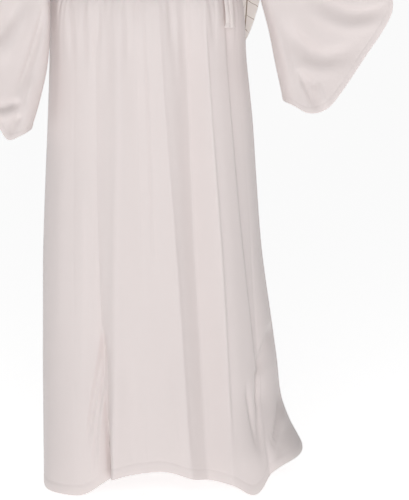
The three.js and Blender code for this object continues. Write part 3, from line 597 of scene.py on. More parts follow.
sleeves = {
    "columns": 210,
    "rows": 110,
    "bulge": 1.7,
    "seamRound": 0.12,
    "ripple": 0.0011,
    "hangFrom": (0.15, 0.70),
    "foldsFrom": (0.04, 0.20),
    "foldsTo": (0.94, 1.00),
    "blend": 0.28,  # share of the length over which the sleeve leaves the armhole's shape
    "backShift": 0.3,
    "rowsAlong": ((0, 0.86, 0.90, 1), (0, 0.93, 0.955, 1)),  # rows lie close together at the cuff's hem
}

# Sleeves: the top line over the arm and the underarm seam, x away from the body.
sleeveRows = {
    1: rowsOf(
        "along topX topY topZ lowX lowY lowZ arm hang",
        (0, 0.195, 0, -0.050, 0.188, 0, -0.205, 0.052, 0.050),
        (0.12, 0.246, -0.010, -0.076, 0.204, -0.008, -0.268, 0.054, 0.044),
        (0.3, 0.318, -0.034, -0.134, 0.225, -0.018, -0.340, 0.052, 0.036),
        (0.48, 0.376, -0.062, -0.198, 0.242, -0.028, -0.403, 0.048, 0.032),
        (0.66, 0.428, -0.092, -0.262, 0.257, -0.036, -0.460, 0.044, 0.031),
        (0.84, 0.472, -0.122, -0.320, 0.271, -0.044, -0.530, 0.041, 0.034),
        (1, 0.506, -0.146, -0.366, 0.287, -0.052, -0.603, 0.039, 0.042),
    ),
    -1: rowsOf(
        "along topX topY topZ lowX lowY lowZ arm hang",
        (0, 0.195, 0, -0.050, 0.188, 0, -0.205, 0.052, 0.044),
        (0.12, 0.236, -0.010, -0.084, 0.204, -0.020, -0.258, 0.054, 0.034),
        (0.3, 0.290, -0.034, -0.156, 0.203, -0.050, -0.350, 0.052, 0.030),
        (0.48, 0.332, -0.062, -0.228, 0.201, -0.064, -0.430, 0.048, 0.028),
        (0.66, 0.368, -0.090, -0.302, 0.206, -0.072, -0.520, 0.044, 0.028),
        (0.84, 0.396, -0.116, -0.372, 0.222, -0.078, -0.596, 0.041, 0.032),
        (1, 0.416, -0.138, -0.430, 0.241, -0.084, -0.661, 0.039, 0.040),
    ),
}

cuffRows = {
    1: rowsOf(
        "share x z",
        (0, 0.506, -0.366), (0.14, 0.503, -0.420), (0.4, 0.449, -0.512), (0.66, 0.389, -0.603),
        (0.75, 0.364, -0.622), (0.84, 0.336, -0.625), (0.92, 0.308, -0.611), (1, 0.287, -0.603),
    ),
    -1: rowsOf(
        "share x z",
        (0, 0.416, -0.430), (0.14, 0.409, -0.482), (0.4, 0.362, -0.562), (0.7, 0.309, -0.645),
        (0.83, 0.287, -0.679), (0.92, 0.260, -0.671), (1, 0.241, -0.661),
    ),
}

# Swags and creases of each sleeve, x away from the body. Those without back are on its front only.
leftFolds = [
    fold(
        0.011, 0.0085, -0.55, (0.322, -0.368), (0.372, -0.392), (0.424, -0.413), (0.472, -0.408),
        (0.506, -0.392), back=-0.014,
    ),
    fold(
        0.014, -0.005, 0, (0.318, -0.398), (0.372, -0.433), (0.413, -0.447), (0.457, -0.441),
        (0.49, -0.422), back=0.01,
    ),
    fold(
        0.018, 0.0095, -0.2, (0.292, -0.42), (0.318, -0.474), (0.362, -0.506), (0.41, -0.498),
        (0.452, -0.466), back=0.016,
    ),
    fold(0.017, -0.004, 0, (0.306, -0.516), (0.342, -0.532), (0.38, -0.531), (0.418, -0.514), back=-0.012),
    fold(0.008, 0.007, 0.3, (0.316, -0.528), (0.331, -0.566), (0.346, -0.598), (0.352, -0.626), back=0.02),
    fold(0.008, -0.003, 0, (0.352, -0.56), (0.364, -0.59), (0.372, -0.618)),
    fold(0.005, 0.0034, 0, (0.334, -0.552), (0.344, -0.566), (0.36, -0.574)),
    fold(0.011, -0.0042, 0, (0.262, -0.41), (0.277, -0.47), (0.296, -0.54), (0.306, -0.6), back=0.006),
    fold(
        0.019, 0.0085, -0.2, (0.262, -0.24), (0.29, -0.3), (0.334, -0.334), (0.388, -0.344),
        (0.44, -0.334), back=-0.01,
    ),
    fold(0.014, 0.006, 0.3, (0.24, -0.2), (0.262, -0.262), (0.3, -0.3), (0.352, -0.296), back=0.012),
    fold(0.012, 0.006, 0, (0.222, -0.25), (0.24, -0.32), (0.272, -0.376), back=0.008),
    fold(0.01, 0.0045, 0.2, (0.3, -0.14), (0.318, -0.176), (0.352, -0.204), back=0.014),
    fold(0.01, 0.004, 0, (0.378, -0.222), (0.396, -0.26), (0.436, -0.29), back=-0.012),
    fold(0.012, 0.005, 0, (0.212, -0.09), (0.232, -0.14), (0.234, -0.196), back=0.004),
    fold(0.009, 0.0035, 0, (0.448, -0.3), (0.462, -0.334), (0.496, -0.352), back=0.01),
]
rightFolds = [
    fold(
        0.0085, 0.0085, -0.4, (0.209, -0.38), (0.222, -0.44), (0.242, -0.505), (0.264, -0.566),
        (0.284, -0.6), back=0.012,
    ),
    fold(0.015, -0.006, 0, (0.24, -0.386), (0.258, -0.446), (0.284, -0.496), (0.314, -0.53), back=-0.008),
    fold(
        0.017, 0.011, 0.3, (0.262, -0.38), (0.286, -0.434), (0.314, -0.472), (0.356, -0.484),
        (0.394, -0.472), back=-0.012,
    ),
    fold(0.008, 0.008, 0.4, (0.256, -0.602), (0.28, -0.609), (0.308, -0.613), (0.336, -0.602), back=0.014),
    fold(0.0085, -0.004, 0, (0.262, -0.62), (0.29, -0.629), (0.318, -0.634)),
    fold(0.0065, 0.005, 0, (0.257, -0.622), (0.276, -0.648), (0.284, -0.676), back=0.006),
    fold(0.01, -0.004, 0, (0.232, -0.54), (0.246, -0.596), (0.262, -0.65)),
    fold(
        0.019, 0.0085, -0.2, (0.232, -0.25), (0.25, -0.31), (0.286, -0.352), (0.33, -0.372),
        (0.364, -0.38), back=0.01,
    ),
    fold(0.014, 0.006, 0.2, (0.214, -0.22), (0.226, -0.29), (0.252, -0.34), back=-0.008),
    fold(0.01, 0.0045, 0, (0.268, -0.15), (0.29, -0.196), (0.32, -0.224), back=0.012),
    fold(0.01, 0.0042, 0.2, (0.316, -0.24), (0.33, -0.286), (0.358, -0.32), back=0.01),
    fold(0.012, 0.005, 0, (0.212, -0.09), (0.23, -0.14), (0.226, -0.19), back=0.004),
]
sleeveFolds = {1: leftFolds, -1: rightFolds}


def sleevePoint(side, share, along, back):
    rows = sleeveRows[side]
    value = {name: column(rows, "along", name, along) for name in rows[0] if name != "along"}
    cuffX = column(cuffRows[side], "share", "x", share)
    cuffZ = column(cuffRows[side], "share", "z", share)
    start, end = cuffRows[side][0], cuffRows[side][-1]
    bulge = along ** sleeves["bulge"]
    x = lerp(value["topX"], value["lowX"], share) + bulge * (cuffX - lerp(start["x"], end["x"], share))
    z = lerp(value["topZ"], value["lowZ"], share) + bulge * (cuffZ - lerp(start["z"], end["z"], share))
    length = np.hypot(value["topX"] - value["lowX"], value["topZ"] - value["lowZ"])
    roundTop = np.sqrt(1 - (1 - np.clip(share * length / value["arm"], 0, 1)) ** 2)
    roundSeam = np.sqrt(1 - (1 - np.clip((1 - share) / sleeves["seamRound"], 0, 1)) ** 2)
    body = lerp(value["arm"], value["hang"], smoothstep(share, *sleeves["hangFrom"]))
    front = foldsAt(x, z, sleeveFolds[side])
    moved = [
        {**swag, "path": [(px + swag["back"], pz - swag["back"]) for px, pz in swag["path"]]}
        for swag in sleeveFolds[side] if swag["back"] is not None
    ]
    inset = np.where(back, foldsAt(x, z, moved), front)
    inset += rippleAt(x, z + sleeves["backShift"] * back, sleeves["ripple"])
    inset *= smoothstep(share, *sleeves["foldsFrom"]) * (1 - smoothstep(share, *sleeves["foldsTo"]))
    depth = body * roundTop * roundSeam - inset
    axisY = lerp(value["topY"], value["lowY"], share)
    return np.stack([side * x, axisY + np.where(back, 1, -1) * depth, z], axis=-1)


def armholePoint(side, share, back):  # the panel's edge at the height of the sleeve's own ring
    z = lerp(robe["shoulderTipZ"], robe["armpitZ"], share)
    turn = np.where(back, *((0, 360) if side > 0 else (180, robe["frontStart"])))
    level = 2 + np.maximum(z - robe["armpitZ"], 0) / (robe["shoulderTipZ"] - robe["armpitZ"])
    point, normal = formAt(turn, z)
    return point - normal * foldInset(turn, level)[:, None]


def sleevePoints(side, u, v):
    back = u > 0.5
    share = 1 - np.abs(1 - 2 * u)
    share = 0.5 - 0.5 * np.cos(np.pi * share)  # closer together on the rounded top and at the seam
    along = np.interp(v, *sleeves["rowsAlong"])
    point = sleevePoint(side, share, along, back)
    fade = 1 - smoothstep(along, 0, sleeves["blend"])
    offset = armholePoint(side, share, back) - sleevePoint(side, share, 0 * along, back)
    point = point + offset * fade[:, None]
    point[:, 0] += side * robe["seamGap"]
    return point


def sleeve(name, side):
    piece = clothGrid(
        name, sleeves["columns"], sleeves["rows"], lambda u, v: sleevePoints(side, u, v),
        turnedIn=side < 0, closed=True, hemAt="end", hemWidth=hem["cuffWidth"],
    )
    addWall(piece, robe["wall"])
    return piece


sash = {
    "low": -0.345, "high": -0.315, "gap": 0.0014, "edge": 0.0016, "bulge": 0.0030,
    "pleats": ((0.16, 0.0010, 0.8), (0.37, 0.0014, 2.4), (0.60, 0.0012, 4.1), (0.82, 0.0010, 5.3)),
    "pleatWidth": 0.045, "pleatSwing": 0.05, "uneven": 0.4, "start": 0.5,
    "wander": ((0.04, 3, 1), (0.03, 7, 0)), "bulgeRound": 0.7,
    "pinch": 0.0012, "pinchWidth": 9, "pinchWaves": 26, "wall": 0.0010, "columns": 360, "rows": 26,
}


def sashPoints(u, v):
    turn = (u * 360 + sash["start"]) % 360
    around = np.radians(turn)
    z = lerp(sash["low"], sash["high"], v)
    point, normal = formAt(turn, z)
    out = sash["gap"] + sash["edge"] + sash["bulge"] * np.sin(np.pi * v) ** sash["bulgeRound"]
    wander = sum(size * np.sin(around * waves + phase) for size, waves, phase in sash["wander"])
    for height, depth, phase in sash["pleats"]:
        line = height + wander + sash["pleatSwing"] * np.sin(around * 2 + phase)
        size = depth * (1 - sash["uneven"] + sash["uneven"] * np.sin(around * 5 + phase * 2))
        out = out - size * np.exp(-((v - line) / sash["pleatWidth"]) ** 2)
    atKnot = np.degrees(np.arccos(knot["across"]))
    away = (turn - (360 - atKnot) + 180) % 360 - 180
    pinch = sash["pinch"] * np.exp(-(away / sash["pinchWidth"]) ** 2)
    out = out - pinch * np.sin(v * sash["pinchWaves"]) ** 2
    return point + normal * out[:, None]


def sashBand():
    band = clothGrid("sashBand", sash["columns"], sash["rows"], sashPoints, closed=True)
    addWall(band, sash["wall"])
    return band


# The cloth goes round the knot at a slant. Each groove between its turns has a place, width and depth.
knot = {
    "across": 0.872, "width": 0.017, "depth": 0.013, "height": 0.020, "seat": 0.0063, "boxed": 0.8,
    "slant": 0.55,
    "grooves": ((0.46, 0.09, 0.16), (-0.46, 0.09, 0.16), (0.12, 0.07, 0.06), (-0.20, 0.06, 0.05)),
    "pleat": 0.05, "pleatWaves": (9, 4), "pleatFrom": (0.5, 0.7), "facing": (-0.6, 0.3),
    "segments": 72, "rings": 48,
}


def sashKnot():
    turn = np.array([360 - math.degrees(math.acos(knot["across"]))])
    point, normal = formAt(turn, np.array([(sash["low"] + sash["high"]) / 2]))
    centre = point[0] + normal[0] * (knot["seat"] + knot["depth"])
    outwards = normal[0]
    sideways = np.array([-outwards[1], outwards[0], 0.0])
    shape = bmesh.new()
    bmesh.ops.create_uvsphere(shape, u_segments=knot["segments"], v_segments=knot["rings"], radius=1)
    wavesX, wavesZ = knot["pleatWaves"]
    for vertex in shape.verts:
        x, y, z = vertex.co
        boxed = [math.copysign(abs(value) ** knot["boxed"], value) for value in (x, y, z)]
        slant = z + knot["slant"] * x
        sunk = sum(depth * math.exp(-((slant - at) / width) ** 2) for at, width, depth in knot["grooves"])
        pleats = math.sin(wavesX * x - wavesZ * z) ** 2 * smoothstep(abs(slant), *knot["pleatFrom"])
        sunk += knot["pleat"] * pleats
        size = 1 - sunk * smoothstep(-y, *knot["facing"])
        place = sideways * boxed[0] * knot["width"] - outwards * boxed[1] * knot["depth"]
        place[2] += boxed[2] * knot["height"]
        vertex.co = centre + place * size
    bmesh.ops.recalc_face_normals(shape, faces=shape.faces)
    for face in shape.faces:
        face.smooth = True
    piece = pieceOf("sashKnot", shape)
    layer = piece.data.uv_layers.new(name="cloth")
    for loop in piece.data.loops:
        place = piece.data.vertices[loop.vertex_index].co - Vector(centre)
        layer.data[loop.index].uv = (place.dot(Vector(sideways)), place.z)
    return piece


tails = {
    "sashTailLong": {
        "acrossTop": 0.84, "across": 0.83, "z": -0.448, "width": 0.021, "flare": 0.006, "phase": 0.4,
    },
    "sashTailShort": {
        "acrossTop": 0.902, "across": 0.95, "z": -0.384, "width": 0.016, "flare": 0.003, "phase": 2.1,
    },
}

tailForm = {
    "gap": 0.002, "atKnot": 0.012, "liftOver": 0.026, "pinch": 0.7, "pinchOver": 0.030, "flareOver": 0.012,
    "radius": 0.140, "low": 0.0022, "crown": 0.0020, "groove": 0.0008, "grooveWidth": 0.16,
    "crownRound": 2.6, "wave": 0.0005, "waves": (3, 9), "hemWidth": 0.010, "wall": 0.0011,
    "columns": 44, "rows": 110,
}


def tailPoints(end, u, v):  # a strip folded along its middle, lying on the skirt
    startZ = (sash["low"] + sash["high"]) / 2 - knot["height"]
    z = lerp(end["z"], startZ, v)
    flare = end["flare"] * (1 - smoothstep(z, end["z"], end["z"] + tailForm["flareOver"]))
    pinch = lerp(1, tailForm["pinch"], smoothstep(z, startZ - tailForm["pinchOver"], startZ))
    width = end["width"] * pinch + flare
    across = lerp(end["across"], end["acrossTop"], (z - end["z"]) / (startZ - end["z"]))
    middle = 360 - np.degrees(np.arccos(across))
    place = 2 * u - 1
    turn = middle + place * np.degrees(width / 2 / tailForm["radius"])
    point, normal = formAt(turn, z)
    gap = lerp(tailForm["gap"], tailForm["atKnot"], smoothstep(z, startZ - tailForm["liftOver"], startZ))
    halves = 1 - np.abs(np.abs(place) * 2 - 1) ** tailForm["crownRound"]
    halves = tailForm["low"] + tailForm["crown"] * halves
    groove = tailForm["groove"] * np.exp(-(place / tailForm["grooveWidth"]) ** 2)
    wavesAcross, wavesAlong = tailForm["waves"]
    wave = tailForm["wave"] * np.sin(place * wavesAcross + v * wavesAlong + end["phase"]) * (1 - v)
    stitched = hem["groove"] * np.exp(-((z - end["z"] - tailForm["hemWidth"]) / hem["grooveWidth"]) ** 2)
    return point + normal * (gap + halves - groove + wave - stitched)[:, None]


def sashTail(name):
    columns, rows = tailForm["columns"], tailForm["rows"]
    tail = clothGrid(name, columns, rows, lambda u, v: tailPoints(tails[name], u, v))
    addWall(tail, tailForm["wall"])
    return tail


rootPanel = {
    "across": 0.24, "low": -0.282, "high": -0.130, "gap": 0.0013, "thickness": 0.002, "wall": 0.0016,
    "width": 0.085, "height": 0.150, "seam": 0.0007, "seamIn": 0.005, "seamWidth": 0.0010,
    "edge": 0.0008, "edgeWidth": 0.002, "columns": 90, "rows": 120,
}


def rootPoints(u, v):
    half = math.degrees(math.acos(rootPanel["across"]))
    turn = lerp(half, 180 - half, u)
    z = lerp(rootPanel["low"], rootPanel["high"], v)
    point, normal = formAt(turn, z)
    edge = np.minimum(np.minimum(u, 1 - u) * rootPanel["width"], np.minimum(v, 1 - v) * rootPanel["height"])
    seam = rootPanel["seam"] * np.exp(-((edge - rootPanel["seamIn"]) / rootPanel["seamWidth"]) ** 2)
    roll = rootPanel["edge"] * (1 - smoothstep(edge, 0, rootPanel["edgeWidth"]))
    return point + normal * (rootPanel["gap"] + rootPanel["thickness"] - seam - roll)[:, None]


def wingRoot():
    piece = clothGrid("wingRootPanel", rootPanel["columns"], rootPanel["rows"], rootPoints)
    addWall(piece, rootPanel["wall"])
    return piece


wings = {
    "thickness": 0.003, "rootY": 0.1178, "rootX": 0.024, "sweep": 0.2, "camber": 0.016,
    "camberFrom": (0.04, 0.16), "bow": 0.028, "notch": 0.062, "notchShare": 0.3, "scallop": 2.2,
    "featherColumns": 18, "rows": 64, "margin": 0.0001, "sideMargin": 0.02,
    "flat": 0.35, "puffRound": 0.6, "sideRound": 12, "tipRound": 9,
}

featherRows = rowsOf(
    "rootX rootZ tipX tipZ",
    (0.026, -0.188, 0.060, -0.318), (0.040, -0.122, 0.098, -0.374), (0.072, -0.056, 0.134, -0.427),
    (0.115, 0.000, 0.170, -0.470), (0.165, 0.042, 0.207, -0.493), (0.218, 0.066, 0.276, -0.402),
    (0.268, 0.066, 0.320, -0.330), (0.312, 0.042, 0.354, -0.248), (0.346, -0.002, 0.376, -0.160),
)


def wingParts(u, v):
    count = len(featherRows)
    place = u * (count - 2 * wings["margin"]) + wings["margin"]
    index = np.clip(np.floor(place), 0, count - 1)
    centred = np.clip(place - 0.5, -0.5, count - 0.5)
    low = np.clip(np.floor(centred), 0, count - 2).astype(int)
    value = {}
    for name in featherRows[0]:
        ends = np.array([row[name] for row in featherRows])
        value[name] = lerp(ends[low], ends[low + 1], centred - low)
    fromQuill = (place - index - 0.5) * 2
    length = np.hypot(value["tipX"] - value["rootX"], value["tipZ"] - value["rootZ"])
    notch = np.minimum(wings["notch"] / length, wings["notchShare"]) * np.abs(fromQuill) ** wings["scallop"]
    reach = v * (1 - notch)
    x = lerp(value["rootX"], value["tipX"], reach) + wings["bow"] * np.sin(np.pi * reach)
    z = lerp(value["rootZ"], value["tipZ"], reach)
    camber = wings["camber"] * np.sin(np.pi * np.clip(reach, 0, 1)) * smoothstep(x, *wings["camberFrom"])
    sweep = wings["sweep"] * np.maximum(x - wings["rootX"], 0)
    y = wings["rootY"] + wings["thickness"] / 2 + sweep + camber
    return np.stack([x, y, z], axis=-1), index, fromQuill, reach * length


def featherWidth(flat, index):  # half the width of each feather at each point
    count = len(featherRows)
    low = wingParts((index + wings["sideMargin"]) / count, flat[:, 1])[0]
    high = wingParts((index + 1 - wings["sideMargin"]) / count, flat[:, 1])[0]
    return np.linalg.norm(high - low, axis=1) / 2


def wing(name, side):
    columns, rows = wings["featherColumns"] * len(featherRows), wings["rows"]

    def place(u, v):
        point = wingParts(u, v)[0]
        point[:, 0] *= side
        return point

    piece = clothGrid(name, columns, rows, place, turnedIn=side > 0)
    mesh = piece.data
    grid, flat = flatGrid(columns, rows)
    grid.free()
    _, index, fromQuill, along = wingParts(flat[:, 0], flat[:, 1])
    widths = featherWidth(flat, index)
    corners = np.empty(len(mesh.loops), int)
    mesh.loops.foreach_get("vertex_index", corners)
    feather = np.stack([fromQuill * widths, along], axis=-1)
    layer = mesh.uv_layers.new(name="feather")  # distance from the quill and from the root, in metres
    layer.data.foreach_set("uv", feather[corners].ravel())
    number = mesh.attributes.new("featherNumber", "FLOAT", "POINT")
    number.data.foreach_set("value", index.astype(np.float32))
    puff = piece.vertex_groups.new(name="puff")
    inner = np.abs(fromQuill)
    edge = np.minimum(flat[:, 0], 1 - flat[:, 0]) * wings["sideRound"]
    edge = np.minimum(edge, (1 - flat[:, 1]) * wings["tipRound"])
    height = np.clip(np.sin(np.pi * inner) ** wings["puffRound"], 0, 1) * np.sqrt(np.clip(edge, 0, 1))
    for vertex, weight in enumerate(lerp(wings["flat"], 1, height)):
        puff.add([vertex], float(weight), "REPLACE")
    thicken = addWall(piece, wings["thickness"], offset=0)
    thicken.vertex_group = "puff"
    return piece


robeFront = robePanel("front")
robeBack = robePanel("back")
print("robe panels made")
sleeveLeft = sleeve("sleeveLeft", 1)
sleeveRight = sleeve("sleeveRight", -1)
print("sleeves made")
sashPiece = sashBand()
knotPiece = sashKnot()
tailLong = sashTail("sashTailLong")
tailShort = sashTail("sashTailShort")
print("sash made")
rootPiece = wingRoot()
wingLeft = wing("wingLeft", 1)
wingRight = wing("wingRight", -1)
print("wings made")

finishes = {
    "robe": {
        "colour": (0.782, 0.708, 0.694), "roughness": 0.62, "sheen": 0.22, "threads": 1900, "spread": 0.05,
    },
    "sash": {
        "colour": (0.815, 0.742, 0.724), "roughness": 0.58, "sheen": 0.22, "threads": 1900, "spread": 0.04,
    },
    "wing": {
        "colour": (0.960, 0.905, 0.865), "roughness": 0.80, "sheen": 0.1, "threads": 1300, "spread": 0.06,
    },
    "tone": {"slowScale": 3.0, "fineScale": 55.0, "slowShare": 0.7, "roughSwing": 1.5},
    "print": (0.270, 0.190, 0.130),
    "barbSpacing": 0.032,
    "barbSlant": 1.05,
    "barbStep": 0.0117,
    "barbWaver": 0.016,
    "barbBreaks": (0.36, 0.46),
    "barbWidth": 0.0006,
    "barbEdge": (0.5, 1.7),  # shares of the width between which the line fades
    "barbStrength": 0.75,
    "waverScale": 26.0,
    "quillWidth": 0.0013,
    "quillEdge": (0.7, 1.3),
    "sheenRoughness": 0.45,
    "specular": 0.28,
    "weaveHeight": 0.16,
    "stitch": (0.0003, 0.0009),
    "stitchPitch": 0.0034,
    "stitchRound": 0.35,
    "relief": 0.0003,
    "reliefStrength": 0.7,
}


def addNode(tree, kind, inputs={}, **settings):
    node = tree.nodes.new("ShaderNode" + kind)
    for name, value in settings.items():
        setattr(node, name, value)
    for name, value in inputs.items():
        if isinstance(value, bpy.types.NodeSocket):
            tree.links.new(value, node.inputs[name])
        else:
            node.inputs[name].default_value = value
    return node


def maths(tree, operation, *values):
    return addNode(tree, "Math", dict(enumerate(values)), operation=operation).outputs[0]


def shaderGroup(name, inputs, outputs):
    group = bpy.data.node_groups.new(name, "ShaderNodeTree")
    for label, kind, value in inputs:
        socket = group.interface.new_socket(label, in_out="INPUT", socket_type="NodeSocket" + kind)
        socket.default_value = value
    for label, kind in outputs:
        group.interface.new_socket(label, in_out="OUTPUT", socket_type="NodeSocket" + kind)
    return group, group.nodes.new("NodeGroupInput").outputs, group.nodes.new("NodeGroupOutput").inputs


def weaveGroup():  # the height of crossing threads
    group, given, result = shaderGroup(
        "weave", [("Cloth", "Vector", (0, 0, 0)), ("Threads", "Float", 1900)], [("Height", "Float")],
    )
    axes = addNode(group, "SeparateXYZ", {0: given["Cloth"]}).outputs
    turns = maths(group, "MULTIPLY", given["Threads"], math.pi)
    over = maths(group, "SINE", maths(group, "MULTIPLY", axes["X"], turns))
    under = maths(group, "SINE", maths(group, "MULTIPLY", axes["Y"], turns))
    group.links.new(maths(group, "MULTIPLY", over, under), result["Height"])
    return group


def toneGroup():  # slow, slight changes of colour and of roughness
    group, given, result = shaderGroup(
        "tone",
        [("Colour", "Color", (1, 1, 1, 1)), ("Roughness", "Float", 0.6), ("Spread", "Float", 0.05)],
        [("Colour", "Color"), ("Roughness", "Float")],
    )
    place = addNode(group, "TexCoord").outputs["Object"]
    cloudy = finishes["tone"]
    slow = addNode(group, "TexNoise", {"Vector": place, "Scale": cloudy["slowScale"], "Detail": 3})
    fine = addNode(group, "TexNoise", {"Vector": place, "Scale": cloudy["fineScale"]})
    slow = maths(group, "MULTIPLY", slow.outputs[0], cloudy["slowShare"])
    fine = maths(group, "MULTIPLY", fine.outputs[0], 1 - cloudy["slowShare"])
    mixed = maths(group, "ADD", slow, fine)
    swing = maths(group, "MULTIPLY", maths(group, "SUBTRACT", mixed, 0.5), given["Spread"])
    value = maths(group, "ADD", swing, 1.0)
    tinted = addNode(group, "HueSaturation", {"Value": value, "Color": given["Colour"]}).outputs[0]
    rough = maths(group, "ADD", given["Roughness"], maths(group, "MULTIPLY", swing, cloudy["roughSwing"]))
    group.links.new(tinted, result["Colour"])
    group.links.new(rough, result["Roughness"])
    return group


def stitchGroup():  # a row of stitches at one distance from the cloth's edge
    group, given, result = shaderGroup(
        "stitches",
        [
            ("Along", "Float", 0), ("Distance", "Float", 0),
            ("From edge", "Float", hem["width"]), ("Pitch", "Float", finishes["stitchPitch"]),
        ],
        [("Height", "Float")],
    )
    away = maths(group, "ABSOLUTE", maths(group, "SUBTRACT", given["Distance"], given["From edge"]))
    inner, outer = finishes["stitch"]
    row = addNode(group, "MapRange", {"Value": away, 1: inner, 2: outer, 3: 1.0, 4: 0.0}).outputs[0]
    step = maths(group, "FRACT", maths(group, "DIVIDE", given["Along"], given["Pitch"]))
    dash = maths(group, "SINE", maths(group, "MULTIPLY", step, math.pi))
    dash = maths(group, "POWER", dash, finishes["stitchRound"])
    group.links.new(maths(group, "MULTIPLY", row, dash), result["Height"])
    return group


weave = weaveGroup()
tone = toneGroup()
stitches = stitchGroup()


def placeGroup(tree, group, inputs):
    return addNode(tree, "Group", inputs, node_tree=group).outputs


def clothMaterial(name, finish, stitchedAt=None, pattern=None):
    material = bpy.data.materials.new(name)
    material.use_nodes = True
    tree = material.node_tree
    shader = tree.nodes["Principled BSDF"]
    shader.inputs["Sheen Weight"].default_value = finish["sheen"]
    shader.inputs["Sheen Roughness"].default_value = finishes["sheenRoughness"]
    shader.inputs["Specular IOR Level"].default_value = finishes["specular"]
    cloth = addNode(tree, "UVMap", uv_map="cloth").outputs[0]
    soft = placeGroup(tree, tone, {
        "Colour": (*finish["colour"], 1), "Roughness": finish["roughness"], "Spread": finish["spread"],
    })
    colour = soft["Colour"]
    woven = placeGroup(tree, weave, {"Cloth": cloth, "Threads": finish["threads"]})["Height"]
    height = maths(tree, "MULTIPLY", woven, finishes["weaveHeight"])
    if stitchedAt:
        axes = addNode(tree, "SeparateXYZ", {0: cloth}).outputs
        seam = {"Along": axes["X"], "Distance": axes["Y"], "From edge": stitchedAt}
        height = maths(tree, "ADD", height, placeGroup(tree, stitches, seam)["Height"])
    if pattern:
        colour, height = pattern(tree, colour, height)
    tree.links.new(colour, shader.inputs["Base Color"])
    tree.links.new(soft["Roughness"], shader.inputs["Roughness"])
    bump = addNode(tree, "Bump", {
        "Height": height, "Distance": finishes["relief"], "Strength": finishes["reliefStrength"],
    })
    tree.links.new(bump.outputs[0], shader.inputs["Normal"])
    return material


def lineAt(tree, away, name, strength):  # a soft printed line where away is near 0
    inner, outer = (finishes[name + "Width"] * share for share in finishes[name + "Edge"])
    return addNode(tree, "MapRange", {"Value": away, 1: inner, 2: outer, 3: strength, 4: 0.0}).outputs[0]


def featherPrint(tree, colour, height):  # a quill down each feather, with slanting barbs
    feather = addNode(tree, "UVMap", uv_map="feather").outputs[0]
    axes = addNode(tree, "SeparateXYZ", {0: feather}).outputs
    number = addNode(tree, "Attribute", attribute_name="featherNumber").outputs["Fac"]
    place = addNode(tree, "TexCoord").outputs["Object"]
    waver = addNode(tree, "TexNoise", {"Vector": place, "Scale": finishes["waverScale"]}).outputs[0]
    away = maths(tree, "ABSOLUTE", axes["X"])
    quill = lineAt(tree, away, "quill", 1.0)
    slant = maths(tree, "SUBTRACT", axes["Y"], maths(tree, "MULTIPLY", away, finishes["barbSlant"]))
    shifted = maths(tree, "ADD", slant, maths(tree, "MULTIPLY", number, finishes["barbStep"]))
    wavy = maths(tree, "ADD", shifted, maths(tree, "MULTIPLY", waver, finishes["barbWaver"]))
    step = maths(tree, "FRACT", maths(tree, "DIVIDE", wavy, finishes["barbSpacing"]))
    centred = maths(tree, "ABSOLUTE", maths(tree, "SUBTRACT", step, 0.5))
    gap = maths(tree, "MULTIPLY", centred, finishes["barbSpacing"])
    barb = lineAt(tree, gap, "barb", finishes["barbStrength"])
    low, high = finishes["barbBreaks"]
    broken = addNode(tree, "MapRange", {"Value": waver, 1: low, 2: high}).outputs[0]
    line = maths(tree, "MAXIMUM", quill, maths(tree, "MULTIPLY", barb, broken))
    printed = {0: line, 6: colour, 7: (*finishes["print"], 1)}
    return addNode(tree, "Mix", printed, data_type="RGBA").outputs[2], height


materials = {
    "robe": clothMaterial("robeCloth", finishes["robe"], stitchedAt=hem["width"]),
    "sleeve": clothMaterial("sleeveCloth", finishes["robe"]),
    "sash": clothMaterial("sashCloth", finishes["sash"]),
    "wing": clothMaterial("wingCloth", finishes["wing"], pattern=featherPrint),
    "root": clothMaterial("rootCloth", finishes["wing"]),
}
print("materials made")

dressing = (
    (robeFront, ("skirt_front", "bodice_front"), "robe", "robe"),
    (robeBack, ("skirt_back", "bodice_back"), "robe", "robe"),
    (sleeveLeft, ("sleeve_left_front", "sleeve_left_back"), "robe", "sleeve"),
    (sleeveRight, ("sleeve_right_front", "sleeve_right_back"), "robe", "sleeve"),
    (sashPiece, ("waist_sash",), "sash", "sash"),
    (knotPiece, ("sash_knot",), "sash", "sash"),
    (tailLong, ("sash_tail_long",), "sash", "sash"),
    (tailShort, ("sash_tail_short",), "sash", "sash"),
    (rootPiece, ("wing_root",), "wing", "root"),
    (wingLeft, ("wing_left",), "wing", "wing"),
    (wingRight, ("wing_right",), "wing", "wing"),
)
for piece, nodes, slot, material in dressing:
    piece.data.materials.append(materials[material])
    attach(piece, "root")
    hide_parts(*nodes)
    printArea(piece)

stage = {
    "lens": 169.03,
    "sensor": 36,
    "reach": 300,
    "cameraPlace": (0.1215, -5.0, -0.240),
    "cameraDown": 7.838,  # degrees
    "floorZ": -1.4405,
    "floorColour": (0.93, 0.93, 0.93, 1),
    "floorSize": 90,
    "floorRoughness": 0.9,
    "floorSpecular": 0.1,
    "floorGlow": 0.70,
    "worldSide": 0.18,
    "worldFront": 0.06,
    "frontFall": 1.5,
    "worldTop": 0.13,
    "keyPower": 67,
    "keySize": 1.8,
    "keyPlace": (-0.15, -4.5, 0.0),
    "aim": (0.03, 0.0, -0.8),
}


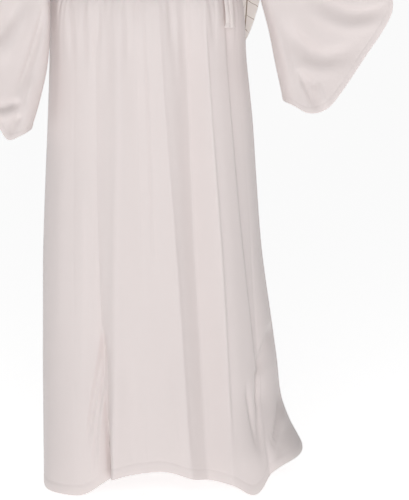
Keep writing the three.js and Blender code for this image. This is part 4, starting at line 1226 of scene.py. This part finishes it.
def makeFloor():
    shape = bmesh.new()
    bmesh.ops.create_grid(shape, x_segments=1, y_segments=1, size=stage["floorSize"])
    bmesh.ops.translate(shape, verts=shape.verts, vec=(0, 0, stage["floorZ"]))
    floor = pieceOf("floor", shape)
    material = bpy.data.materials.new("floorPaint")
    material.use_nodes = True
    shader = material.node_tree.nodes["Principled BSDF"]
    shader.inputs["Base Color"].default_value = stage["floorColour"]
    shader.inputs["Roughness"].default_value = stage["floorRoughness"]
    shader.inputs["Specular IOR Level"].default_value = stage["floorSpecular"]
    shader.inputs["Emission Color"].default_value = (1, 1, 1, 1)
    shader.inputs["Emission Strength"].default_value = stage["floorGlow"]
    floor.data.materials.append(material)


def makeWorld():
    world = bpy.data.worlds.new("studio")
    world.use_nodes = True
    tree = world.node_tree
    axes = addNode(tree, "SeparateXYZ", {0: addNode(tree, "TexCoord").outputs["Generated"]}).outputs
    front = maths(tree, "MAXIMUM", maths(tree, "MULTIPLY", axes["Y"], -1.0), 0.0)
    front = maths(tree, "MULTIPLY", maths(tree, "POWER", front, stage["frontFall"]), stage["worldFront"])
    top = maths(tree, "MULTIPLY", maths(tree, "MAXIMUM", axes["Z"], 0.0), stage["worldTop"])
    light = maths(tree, "ADD", maths(tree, "ADD", front, top), stage["worldSide"])
    seen = addNode(tree, "LightPath").outputs["Is Camera Ray"]
    rest = maths(tree, "SUBTRACT", 1.0, light)  # so that what the camera sees past the floor is white
    strength = maths(tree, "ADD", maths(tree, "MULTIPLY", seen, rest), light)
    tree.links.new(strength, tree.nodes["Background"].inputs["Strength"])
    tree.nodes["Background"].inputs["Color"].default_value = (1, 1, 1, 1)
    bpy.context.scene.world = world


def makeKey():
    light = bpy.data.lights.new("softbox", "AREA")
    light.energy = stage["keyPower"]
    light.size = stage["keySize"]
    lamp = bpy.data.objects.new("softbox", light)
    lamp.location = stage["keyPlace"]
    towards = Vector(stage["aim"]) - Vector(stage["keyPlace"])
    lamp.rotation_euler = towards.to_track_quat("-Z", "Y").to_euler()
    lamp.visible_camera = False
    bpy.context.scene.collection.objects.link(lamp)


def makeCamera():
    lens = bpy.data.cameras.new("camera")
    lens.sensor_width = stage["sensor"]
    lens.lens = stage["lens"]
    lens.clip_end = stage["reach"]
    camera = bpy.data.objects.new("camera", lens)
    camera.location = stage["cameraPlace"]
    camera.rotation_euler = (math.radians(90 - stage["cameraDown"]), 0, 0)
    bpy.context.scene.collection.objects.link(camera)
    bpy.context.scene.camera = camera


makeFloor()
makeWorld()
makeKey()
makeCamera()
bpy.context.scene.view_settings.view_transform = "Standard"
print("stage made")
